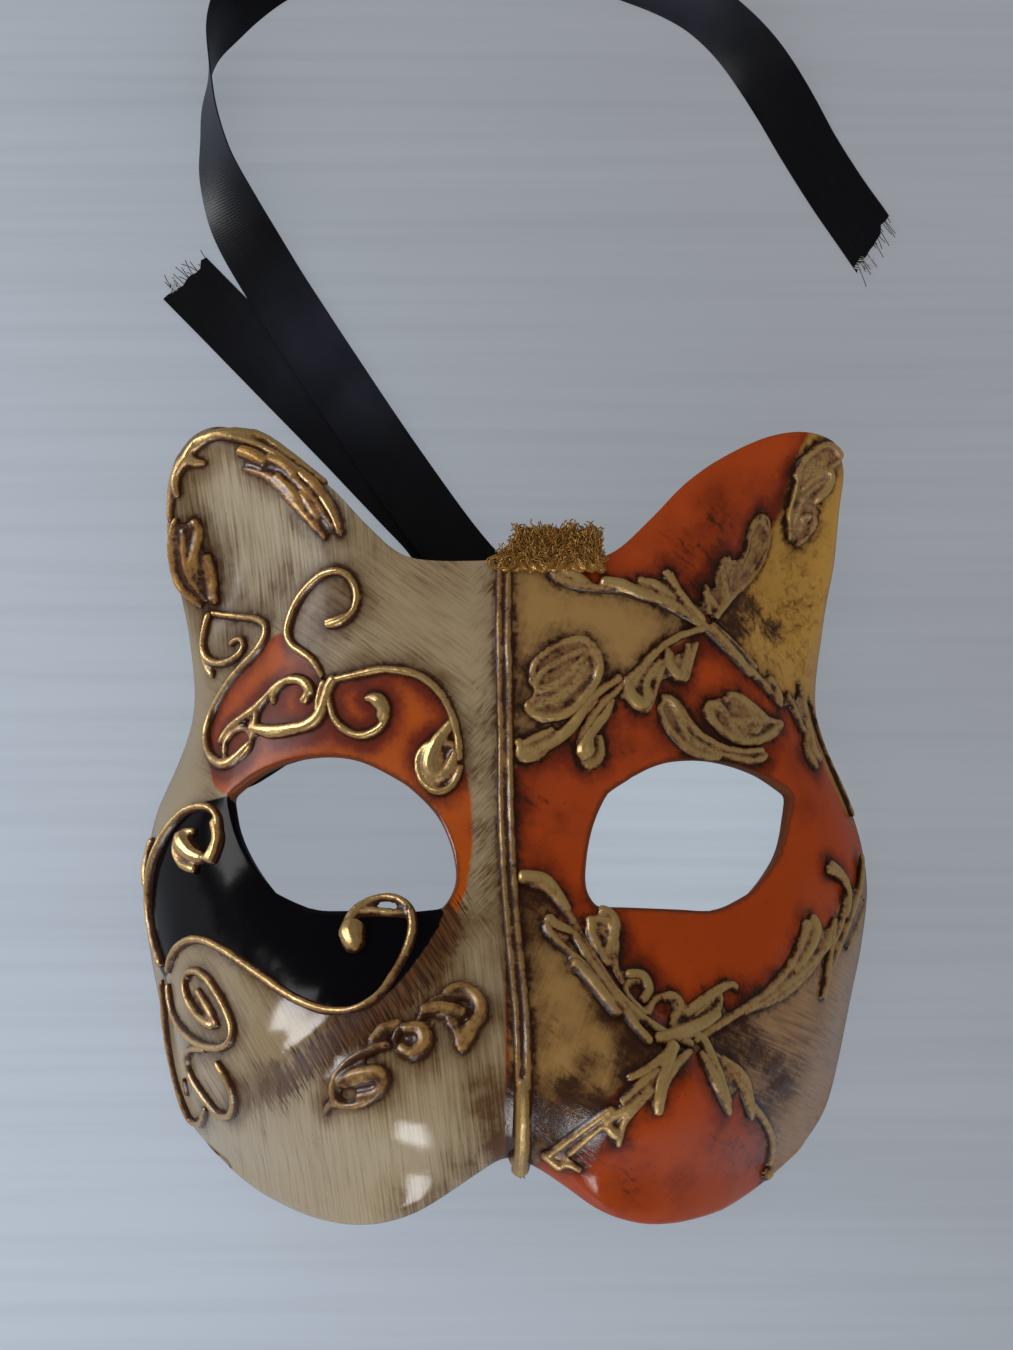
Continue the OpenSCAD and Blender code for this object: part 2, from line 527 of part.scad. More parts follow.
module right_nose_hooks() {
    color(old_gold) strokes([
        [[11.4, -25, 1.4], [9.8, -21.8, 1.8], [7.2, -21.2, 2.6], [7.8, -24.2, 2], [11.2, -27.4, 1.8],
            [14.4, -30, 1.4]],
        [[11.4, -29, 1.6], [13.8, -30.2, 2.8], [16.4, -33.4, 2.6], [19, -37, 1.4]],
        [[16.2, -27.4, 1.4], [14.6, -24, 2], [16.2, -20.8, 2.2], [18.8, -21.2, 2.4], [19.6, -25.4, 2.2],
            [19.2, -29.6, 1.9], [20.8, -33.2, 1.5]]], leaf_h);
}

module right_cheek_hooks() {
    color(old_gold) strokes([
        [[25.2, -32.6, 1.6], [22.6, -31.8, 1.9], [20.8, -33.6, 2], [22.2, -36.2, 1.8],
            [24.6, -38.6, 1.6]],
        [[24.8, -38.6, 1.6], [26.2, -35.8, 1.9], [29, -34.8, 2], [30.4, -37, 1.9],
            [29, -40.6, 1.5]]], leaf_h);
}

module right_cheek_arm() {
    color(old_gold) strokes([
        [[33.2, -43, 2], [37, -40.4, 2.2], [41.4, -37.8, 2], [46, -35, 2], [50, -31.6, 2.2],
            [53.6, -27.4, 2.4], [56, -22.8, 2.8], [57, -19.8, 3.2]],
        [[31.6, -40.6, 1.4], [34.6, -37, 2], [38.6, -33.8, 2.4], [38.4, -36.4, 2.4], [35.2, -40, 1.6]],
        [[44.6, -36.8, 1.4], [50.6, -34.4, 1.9], [57, -29, 2.2], [60.8, -23.6, 2.2],
            [63, -18.6, 1.6]]], leaf_h);
}

module right_temple_sprays() {
    color(old_gold) strokes([
        [[61.4, -9.4, 2.4], [64.8, -10.4, 2.2], [66.6, -13.6, 2.4], [65.2, -18.6, 1.6]],
        [[70.2, -5, 1.6], [69.9, -10, 2], [67.4, -16.6, 2.2], [64, -23.4, 2.2], [61.2, -29.4, 2.2],
            [59.6, -34.4, 2.2]],
        [[71, -14, 1.6], [69, -18.6, 2], [65.6, -24.6, 1.6]]], leaf_h);
}

module right_muzzle_leaves() {
    color(old_gold) strokes([
        [[34, -44.6, 1.6], [36.4, -48.6, 2.8], [38.4, -52.4, 2.6], [40, -55.6, 1.4]],
        [[36, -44.4, 1.6], [40, -47.8, 2.4], [42.8, -51.8, 2.6], [44.6, -56.6, 1.4]],
        [[43.8, -53.2, 1.4], [47.6, -57, 1.8], [50, -61, 2], [50.2, -65, 2.4]]], leaf_h);
    color(old_gold) bead([49.6, -66.8], 3);
}

module right_muzzle_branch() {
    color(old_gold) strokes([
        [[32.6, -44.4, 1.8], [29, -47.6, 2.6], [27, -51, 2.8], [26.6, -55.6, 1.6]],
        [[30.6, -46, 1.4], [26, -48, 2], [22.8, -50.6, 1.9], [19.6, -53.4, 1.4]],
        [[25.6, -51, 1.4], [22.6, -53.8, 2], [20, -57, 2], [19.6, -61, 1.4]],
        [[18.6, -54, 1.2], [14.6, -57, 1.9], [10.6, -60, 1.9], [7.2, -62.6, 1.8]],
        [[8.4, -64.2, 2], [11.4, -63.8, 2.4], [13.4, -65.2, 1.4]]], leaf_h);
}

// ---- centre rib: two cords side by side, ending in a bead ----
rib_path = [[-0.3, 46.4], [-0.4, 38], [-0.4, 30], [-0.2, 20], [-0.1, 10], [0, 0], [0.4, -10],
    [1, -20], [1.8, -29], [2.6, -37], [3, -45], [3, -53], [2.7, -59.6]];
rib_bead = [2.4, -63];
rib_gap = 0.2;

module centre_rib() {
    color(old_gold) {
        for (side = [-1, 1])
            stroke([for (p = rib_path) [p.x + side * (rib_cord_w + rib_gap) / 2, p.y, rib_cord_w]],
                rib_h);
        bead(rib_bead, rib_bead_d);
    }
}

// ---- braid tab: a loop of metallic braid folded over the top edge ----
tab_x = 8.5;
tab_hang = 2.5;
top_y = 47;

module braid_tab() {
    front = on_face([tab_x, top_y - tab_hang]);
    edge = on_face([tab_x, top_y]);
    top = [tab_x, edge.y + tab_rise, edge.z - wall / 2];
    back = [tab_x, edge.y - 2, edge.z - wall - 0.4 - tab_t];
    outline = [[front.y, front.z + 0.15], [edge.y + 0.4, edge.z + 0.3],
        [top.y - 1, top.z - tab_t * 0.3], [edge.y + 0.6, edge.z - wall - 0.3],
        [back.y, back.z + tab_t]];
    thick = [[front.y, front.z + tab_t], [edge.y + 0.8, edge.z + tab_t], [top.y, top.z + tab_t * 0.4],
        [top.y, top.z - tab_t * 0.6], [edge.y + 0.8, edge.z - wall - 0.3 - tab_t], [back.y, back.z]];
    color(gold)
    translate([tab_x - tab_w / 2, 0, 0])
    rotate([90, 0, 90])
    linear_extrude(tab_w)
    polygon([for (p = thick) p, for (k = [len(outline) - 1:-1:0]) outline[k]]);
}

// ---- glued paper patches over the ribbon ends, inside the temples ----
patch_x = [56.5, 67];
patch_y = [-8, 6];
patch_cells = [6, 6];
patch_slack = 0.8;

// side is -1 for the left temple and 1 for the right one
module ribbon_patch(side) {
    nu = patch_cells.x;
    nv = patch_cells.y;
    n = (nu + 1) * (nv + 1);
    function at(i, j) = j * (nu + 1) + i;
    function over(i, j, extra) =
        let (
            u = i / nu, v = j / nv,
            bulge = sqrt(sin(180 * u)) * (v > 0.1 ? 1 : 0),
            p = [side * (patch_x[0] + (patch_x[1] - patch_x[0]) * u),
                patch_y[0] + (patch_y[1] - patch_y[0]) * v]
        )
        off_face(p, -wall - 0.05 - bulge * (ribbon_t + patch_slack) - extra);
    flip = side > 0 ? 0 : 1;
    function turned(f) = flip == 1 ? f : [f[0], f[2], f[1]];
    faces = [
        for (i = [0:nu - 1], j = [0:nv - 1])
            let (a = at(i, j), b = at(i + 1, j), d = at(i, j + 1), e = at(i + 1, j + 1))
            each [[a, b, e], [a, e, d], [a + n, e + n, b + n], [a + n, d + n, e + n]],
        for (i = [0:nu - 1])
            let (a = at(i, 0), b = at(i + 1, 0), c = at(i, nv), d = at(i + 1, nv))
            each [[a, a + n, b + n], [a, b + n, b], [c, d, d + n], [c, d + n, c + n]],
        for (j = [0:nv - 1])
            let (a = at(0, j), b = at(0, j + 1), c = at(nu, j), d = at(nu, j + 1))
            each [[a, b, b + n], [a, b + n, a + n], [c, c + n, d + n], [c, d + n, d]]];
    polyhedron(
        points = [for (k = [0, patch_t], j = [0:nv], i = [0:nu]) over(i, j, k)],
        faces = [for (f = faces) turned(f)]);
}

module left_ribbon_patch() {
    color(paper) ribbon_patch(-1);
}

module right_ribbon_patch() {
    color(paper) ribbon_patch(1);
}

// ---- ribbons ----
// Each ribbon's middle line and its lean, [x, y, z, lean]: 0 lies flat, 90 stands on edge
left_ribbon_route = [[-59.8, -7.6, 15.4, 44], [-59.8, -2.4, 14.4, 45], [-59, 3, 12.8, 48],
    [-56, 7.6, 11, 53], [-50, 10.4, 9, 60], [-42.5, 14.6, 7.6, 68], [-35, 20, 6.9, 78],
    [-27, 25.6, 6.7, 88], [-19.5, 30.8, 6.7, 88], [-13.4, 35.6, 6.4, 76], [-9.6, 41, 5.2, 50],
    [-9, 47, 2.8, 22], [-11, 53.5, 1.1, 5], [-15, 60.5, 0.6, 0], [-22, 68.2, 0.6, 0],
    [-33, 80, 0.6, 0], [-44.5, 92, 0.6, 0], [-56, 104, 0.6, 0], [-67, 115.4, 0.6, 0]];
right_ribbon_route = [[59.8, -7.6, 15.2, -44], [59.7, -2.4, 14, -45], [59.2, 3.2, 12.2, -48],
    [57.6, 9.2, 10.4, -53], [54.6, 15.2, 9.2, -58], [49.6, 20.3, 8.4, -62], [43, 24.6, 8, -60],
    [33, 28.5, 8.2, -54],
    [23, 32.2, 8.6, -46], [13, 37, 8.4, -36], [4, 42.8, 7, -26], [-4, 49.6, 4.6, -14],
    [-11, 57.8, 2.4, -4], [-18.6, 68.4, 1.6, 0], [-26.4, 79.8, 1.6, 0], [-34.4, 92, 1.6, 0],
    [-42.4, 104.4, 1.5, 0], [-50, 116.6, 1.2, 4], [-56, 127, 2.8, 22], [-60, 136.6, 5, 46],
    [-62, 146, 6.3, 66], [-62.6, 155, 6.7, 76], [-62, 163.4, 6.9, 90], [-60, 170, 6.4, 112],
    [-56.6, 176.4, 4.9, 136], [-50.6, 182.8, 3.2, 154], [-42, 187.8, 1.9, 168],
    [-30, 191.2, 1.1, 176], [-16, 192.8, 0.7, 180], [-2, 192, 0.6, 180], [12, 189.4, 0.6, 180],
    [25, 184.8, 0.6, 180], [36, 179, 0.6, 180], [45, 171.6, 0.6, 180], [52.4, 163.8, 0.6, 180],
    [58.6, 155, 0.6, 180], [63.8, 145.6, 0.6, 180], [69, 136.4, 0.6, 180],
    [77, 123.8, 0.6, 180]];
ribbon_step = 8;

function ribbon_rings(p) = [
    for (i = [0:len(p) - 2])
        let (n = max(1, round(norm([for (k = [0:2]) p[i + 1][k] - p[i][k]]) / ribbon_step)))
        for (k = [0:n - 1])
            blend4(p[max(i - 1, 0)], p[i], p[i + 1], p[min(i + 2, len(p) - 1)], k / n),
    p[len(p) - 1]];

// A flat ribbon of eight sides swept along its route, leaning as the route says
module ribbon(route) {
    q = ribbon_rings(route);
    n = len(q);
    section = [[1, -0.35], [1, 0.35], [0.9, 1], [-0.9, 1], [-1, 0.35], [-1, -0.35],
        [-0.9, -1], [0.9, -1]];
    m = len(section);
    function spot(i) = [q[i][0], q[i][1], q[i][2]];
    // Both broad faces are cut along the same diagonal, so that no twist pushes one through the other
    function halved(k, a, b) =
        k < m / 2 ? [[a, b + m, a + m], [a, b, b + m]] : [[a, b, a + m], [b, b + m, a + m]];
    polyhedron(
        points = [for (i = [0:n - 1])
            let (
                c = spot(i),
                ahead = unit(spot(min(i + 1, n - 1)) - spot(max(i - 1, 0))),
                level = unit(cross(ahead, [0, 0, 1])),
                above = cross(level, ahead),
                lean = q[i][3],
                wide = level * cos(lean) + above * sin(lean),
                thick = above * cos(lean) - level * sin(lean)
            )
            for (s = section)
                let (g = c + wide * s.x * ribbon_w / 2 + thick * s.y * ribbon_t / 2)
                [g.x, g.y, max(g.z, 0)]],
        faces = [
            [for (k = [m - 1:-1:0]) k],
            [for (k = [0:m - 1]) (n - 1) * m + k],
            for (i = [0:n - 2], k = [0:m - 1])
                let (a = i * m + k, b = i * m + (k + 1) % m)
                each halved(k, a, b)]);
}

module left_ribbon() {
    color(satin_black) ribbon(left_ribbon_route);
}

module right_ribbon() {
    color(satin_black) ribbon(right_ribbon_route);
}

shell();
centre_rib();
braid_tab();
left_ear_rim_cord();
left_ear_leaf();
left_ear_side_leaves();
left_temple_loop();
left_brow_line();
left_brow_scroll();
left_ear_hook();
left_brow_hook();
left_brow_crest();
left_brow_drop();
left_eye_spiral();
left_cheek_border();
left_cheek_loop_upper();
left_cheek_loop_lower();
left_jaw_line();
left_muzzle_scroll();
left_muzzle_hook();
right_forehead_spray();
right_ear_sprig();
right_ear_tip_leaf();
right_temple_sprig();
right_temple_line();
right_brow_branch();
right_brow_drops();
right_forehead_ring();
right_forehead_leaf();
right_eye_crescent();
right_brow_leaves();
right_nose_stem();
right_nose_hooks();
right_cheek_hooks();
right_cheek_arm();
right_temple_sprays();
right_muzzle_leaves();
right_muzzle_branch();
left_ribbon_patch();
right_ribbon_patch();
left_ribbon();
right_ribbon();
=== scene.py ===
"""Venetian cat mask, dressed for looks around its packed solids.

The mask lies face up on a table with its ears towards +Y. Sizes in the settings are metres where
they have a length unit; plan outlines and reach values inside the script are millimetres.
"""

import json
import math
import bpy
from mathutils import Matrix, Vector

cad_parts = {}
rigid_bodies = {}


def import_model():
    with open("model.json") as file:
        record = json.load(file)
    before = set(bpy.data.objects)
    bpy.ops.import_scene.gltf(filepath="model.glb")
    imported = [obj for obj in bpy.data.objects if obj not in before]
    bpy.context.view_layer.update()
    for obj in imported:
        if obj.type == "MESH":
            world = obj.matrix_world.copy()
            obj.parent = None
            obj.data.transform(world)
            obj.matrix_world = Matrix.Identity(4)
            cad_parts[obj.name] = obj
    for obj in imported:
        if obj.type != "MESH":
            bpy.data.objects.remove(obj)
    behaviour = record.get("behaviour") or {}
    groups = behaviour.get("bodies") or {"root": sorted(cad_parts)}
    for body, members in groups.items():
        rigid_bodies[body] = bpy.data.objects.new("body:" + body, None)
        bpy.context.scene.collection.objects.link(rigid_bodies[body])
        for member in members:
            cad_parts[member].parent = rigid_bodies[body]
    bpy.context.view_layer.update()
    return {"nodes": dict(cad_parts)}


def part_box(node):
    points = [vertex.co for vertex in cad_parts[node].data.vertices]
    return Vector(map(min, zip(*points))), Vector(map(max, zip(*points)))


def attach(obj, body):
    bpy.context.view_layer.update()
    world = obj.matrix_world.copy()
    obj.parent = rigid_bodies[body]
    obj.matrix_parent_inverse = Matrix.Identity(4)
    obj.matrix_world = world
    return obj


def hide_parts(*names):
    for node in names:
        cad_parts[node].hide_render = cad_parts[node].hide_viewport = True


bl_info = {
    "name": "Venetian Cat Mask",
    "version": (1, 0, 0),
    "blender": (4, 5, 0),
    "location": "View3D > Sidebar > Mask",
    "description": "Painted papier-mache cat mask with gilded relief, braid and satin ties",
    "category": "Object",
}

import bmesh
import bpy
import numpy as np
from bpy.props import FloatProperty, FloatVectorProperty, IntProperty, PointerProperty
from mathutils import Vector
from mathutils.bvhtree import BVHTree
from mathutils.kdtree import KDTree

for startup_object in list(bpy.data.objects):
    bpy.data.objects.remove(startup_object)
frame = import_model()

MM = 0.001
BODY = "root"
# Least height above the table, in millimetres, of the shell's edge and of the paste
SHELL_CLEAR, PASTE_CLEAR = 0.04, 0.05

# ---- plan outlines of the painted areas, in millimetres ----
AMBER_BROW = [
    (-43.1, 34.4), (-40.8, 30.5), (-36.7, 28.2), (-33.7, 24.3), (-28.7, 25.0), (-21.8, 25.8),
    (-15.0, 24.0), (-10.9, 19.0), (-8.7, 12.3), (-7.4, 6.3), (-6.4, 0.7), (-6.2, -8.7),
    (-7.2, -16.3), (-8.8, -20.4), (-14.8, -17.4), (-30.6, -3.0), (-52.8, 3.0), (-56.6, 6.0),
    (-57.8, 10.4), (-58.4, 14.9), (-57.4, 22.1), (-52.4, 28.0), (-47.1, 33.0)]
BLACK_CHEEK = [
    (-53.4, 3.8), (-58.4, 3.0), (-62.6, 2.0), (-67.0, -2.0), (-70.6, -9.0), (-71.6, -18.8),
    (-69.0, -26.9), (-66.3, -31.2), (-64.3, -26.4), (-59.9, -24.2), (-54.4, -25.4), (-47.2, -29.6),
    (-39.2, -35.1), (-32.7, -37.7), (-27.7, -38.3), (-20.4, -34.9), (-17.3, -31.1), (-14.3, -26.7),
    (-12.1, -23.1), (-11.2, -20.2), (-20.7, -11.5), (-40.4, -6.6), (-48.2, -2.4)]
OCHRE_BROW = [
    (0.5, 49.0), (8.7, 46.0), (10.1, 41.9), (16.5, 40.5), (25.2, 39.6), (30.6, 37.4), (36.8, 34.8),
    (32.8, 30.8), (28.0, 29.3), (22.8, 24.9), (18.2, 20.6), (13.8, 15.0), (7.8, 9.0), (0.5, 6.4)]
GOLD_EAR = [
    (37.6, 34.4), (41.4, 38.3), (43.2, 42.3), (47.2, 49.5), (51.0, 55.4), (53.6, 58.6),
    (55.0, 62.2), (55.8, 65.8), (57.6, 71.0), (62.0, 79.0), (76.0, 79.0), (76.0, 20.0),
    (68.2, 6.2), (69.6, 0.3), (67.2, 3.8), (63.8, 10.8), (60.8, 20.0), (57.4, 24.4),
    (53.9, 25.4), (50.1, 26.2), (46.4, 27.4), (42.2, 30.5)]
OCHRE_NOSE = [
    (0.5, -15.9), (7.0, -17.8), (12.8, -26.3), (18.3, -33.6), (24.0, -40.0), (29.0, -44.2),
    (25.1, -47.2), (20.8, -50.6), (15.7, -55.2), (11.2, -59.4), (6.9, -63.4), (2.0, -68.0),
    (0.5, -60.0)]
GREY_CHEEK = [
    (33.0, -44.5), (41.3, -39.5), (49.4, -34.6), (55.8, -29.1), (61.0, -22.7), (65.6, -15.0),
    (74.0, -7.0), (76.0, -30.0), (72.0, -44.0), (67.0, -56.0), (60.3, -66.4), (53.4, -76.0),
    (48.0, -74.0), (49.4, -66.0), (48.2, -60.2), (43.9, -55.2), (38.3, -49.4)]
LEFT_FOLD = [
    (-49.1, -53.4), (-39.5, -50.1), (-30.7, -44.0), (-23.9, -39.5), (-18.8, -34.6), (-13.9, -28.2),
    (-10.1, -20.8)]
# Soft brown stains of the antique glaze, and painted shade in the crease and hollow of the right
# ear: x, y, radius, amount
GLAZE_STAINS_AND_SHADE = [
    (41, -62, 9, 0.5), (22, -67, 8, 0.5), (32, -68, 7, 0.4), (15, -62, 5, 0.6), (64, 72, 5, 0.6),
    (38, 42, 5, 0.95), (40, 46, 4.5, 0.9), (39, 49, 4, 0.6), (44, 36, 5, 1), (52, 37, 4, 0.9),
    (47, 40, 4.5, 0.9), (44, 41, 5, 0.95), (57, 42, 7, 0.45), (57, 51, 6, 0.35),
    (34, 49, 8, 0.55), (41, 55, 8, 0.6), (49, 61, 7, 0.4), (54, 62, 5, 0.6), (56, 59, 4, 0.5),
    (38, 32, 4, 0.5), (2, 26, 4, 0.5), (2, 20, 4, 0.5), (4, 10, 6, 0.5), (10, 8, 6, 0.35),
    (22, 12, 7, 0.45), (37, 15, 5, 0.8), (42, 13, 4, 0.7), (48, 11, 4, 0.6), (33, 22, 4, 0.5),
    (55, 20, 6, 0.4), (59, 12, 5, 0.5), (51, 30, 6, 0.4), (58, 32, 5, 0.4), (63, 44, 5, 0.3),
    (44, 50, 4, 0.5), (30, 35, 6, 0.25), (8, 31, 6, 0.25), (19, 24, 4, 0.35), (56, 66, 4, 0.6),
    (63, 69, 4, 0.6), (5, -18, 4, 0.9), (7, -10, 5, 0.35), (15, -17, 3, 0.5), (23, -30, 6, 0.5),
    (21, -27, 4, 0.6), (4, -24, 5, 0.6), (4, -31, 5, 0.45), (18, -39, 5, 0.7), (22, -44, 5, 1),
    (25, -43, 4, 0.9), (21, -49, 5, 0.65), (14, -48, 5, 0.6), (11, -53, 6, 0.95), (8, -57, 6, 1),
    (15, -55, 5, 0.9), (4, -52, 5, 0.6), (4, -57, 4, 0.8), (9, -42, 6, 0.4), (42, -41, 4, 0.8),
    (45, -45, 4.5, 0.95), (51, -51, 5, 0.95), (40, -45, 5, 0.9), (38, -41, 4, 0.9),
    (48, -54, 5, 0.7), (45, -43, 4, 0.8), (49, -48, 5, 0.8), (54, -48, 5, 0.5),
    (53, -45, 6, 0.4), (46, -65, 4, 0.6), (31, -48, 4, 0.45), (17, -60, 4, 0.6),
    (23, -34, 4, 0.6), (44, -35, 4, 0.5), (57, -41, 7, 0.3), (9, -3, 5, 0.4), (4, 0, 6, 0.5),
    (59, 1, 5, 0.4), (64, -8, 5, 0.4), (23, -69, 9, 0.2), (-62, 68, 4, 0.6), (-64, 62, 5, 0.5),
    (-62, 58, 5, 0.6), (-58, 53, 5, 0.7), (-56, 44, 6, 0.7), (-47, 40, 5, 0.6),
    (-46, 64, 4, 0.5), (-39, 56, 4, 0.6), (-33, 51, 5, 0.6), (-55, 71, 4, 0.4),
    (-54, 35, 5, 0.6), (-35, 36, 6, 0.85), (-32, 42, 5, 0.7), (-37, 41, 5, 0.6),
    (-43, 44, 6, 0.5), (-27, 38, 5, 0.4), (-27, 27, 4, 0.5), (-16, 26, 5, 0.4), (-3, 42, 3, 0.5),
    (-3, 33, 3, 0.4), (-2, 24, 4, 0.5), (-3, 15, 4, 0.6), (-4, 7, 4, 0.6), (-13, 46, 7, 0.4),
    (-24, 50, 8, 0.35), (-49, 52, 8, 0.2), (-35, 30, 4, 0.5), (-46, 21, 5, 0.6),
    (-36, 23, 4, 0.5), (-34, 14, 5, 0.7), (-27, 13, 5, 0.7), (-22, 21, 4, 0.5),
    (-14, 22, 4, 0.7), (-16, 12, 4, 0.5), (-54, 16, 4, 0.5), (-53, 10, 5, 0.6),
    (-41, 13, 5, 0.5), (-27, 22, 5, 0.4), (-62, -31, 3.5, 0.5), (-57, -39, 4, 0.45),
    (-51, -41, 3, 0.6), (-60, -45, 4, 0.6), (-49, -53, 4, 0.9), (-59, -53, 4, 0.6),
    (-44, -51, 5, 0.6), (-40, -51, 5, 0.35), (-10, -24, 4.5, 0.8), (-12, -28, 4.5, 0.9),
    (-15, -33, 5, 0.9), (-19, -37, 5, 0.9), (-23, -40, 5, 0.9), (-28, -43, 5, 0.9),
    (-30, -48, 5, 0.7), (-24, -48, 5, 0.6), (-16, -42, 5, 0.6), (-10, -39, 4, 0.5),
    (-14, -47, 4, 0.5), (-7, -43, 4, 0.5), (-2, -54, 5, 1), (-4, -51, 4, 0.8), (-1, -61, 5, 1),
    (-4, -57, 4, 0.6), (-7, -65, 5, 0.5), (-12, -71, 5, 0.6), (-17, -73, 4, 0.6),
    (-5, -21, 4, 0.6), (-4, -14, 4, 0.5), (-5, -5, 4, 0.6), (-2, -29, 3, 0.4), (-1, -39, 3, 0.4),
    (-32, -54, 3, 0.5), (-21, -53, 4, 0.5), (-37, -35, 4, 0.35)]

# ---- relief: how each CAD stroke group is modelled ----
# fill closes gaps of twice that many millimetres with a thin skin, dip hollows broad blades
POLISHED_PIPING = {
    "left_ear_rim_cord": {}, "left_temple_loop": {}, "left_brow_line": {}, "left_brow_scroll": {},
    "left_ear_hook": {}, "left_brow_hook": {}, "left_brow_crest": {}, "left_eye_spiral": {},
    "left_cheek_border": {}, "left_cheek_loop_upper": {}, "left_cheek_loop_lower": {},
    "left_jaw_line": {}, "left_brow_drop": {"fill": 2.4}}
BROWNED_LEAVES = {
    "left_ear_leaf": {"fill": 1.0}, "left_ear_side_leaves": {"fill": 1.0, "dip": 0.12}}
GLAZED_SCROLLS = {"left_muzzle_scroll": {"fill": 0.3}, "left_muzzle_hook": {}}
ANTIQUE_LEAVES = {
    "right_forehead_spray": {"fill": 0.6}, "right_ear_sprig": {"fill": 0.8, "dip": 0.22},
    "right_ear_tip_leaf": {"fill": 1.2, "dip": 0.22}, "right_temple_sprig": {"fill": 0.6},
    "right_temple_line": {}, "right_brow_branch": {"fill": 0.8},
    "right_brow_drops": {"fill": 1.2, "dip": 0.12},
    "right_forehead_ring": {"fill": 2.2, "dip": 0.2},
    "right_forehead_leaf": {"fill": 1.4, "dip": 0.15},
    "right_eye_crescent": {"fill": 1.6, "dip": 0.25},
    "right_brow_leaves": {"fill": 1.6, "dip": 0.25}, "right_nose_stem": {"dip": 0.1},
    "right_nose_hooks": {"fill": 0.4}, "right_cheek_hooks": {"fill": 0.4},
    "right_cheek_arm": {"fill": 0.7, "dip": 0.1}, "right_temple_sprays": {"fill": 0.6},
    "right_muzzle_leaves": {"fill": 0.5}, "right_muzzle_branch": {"fill": 0.7, "dip": 0.1}}

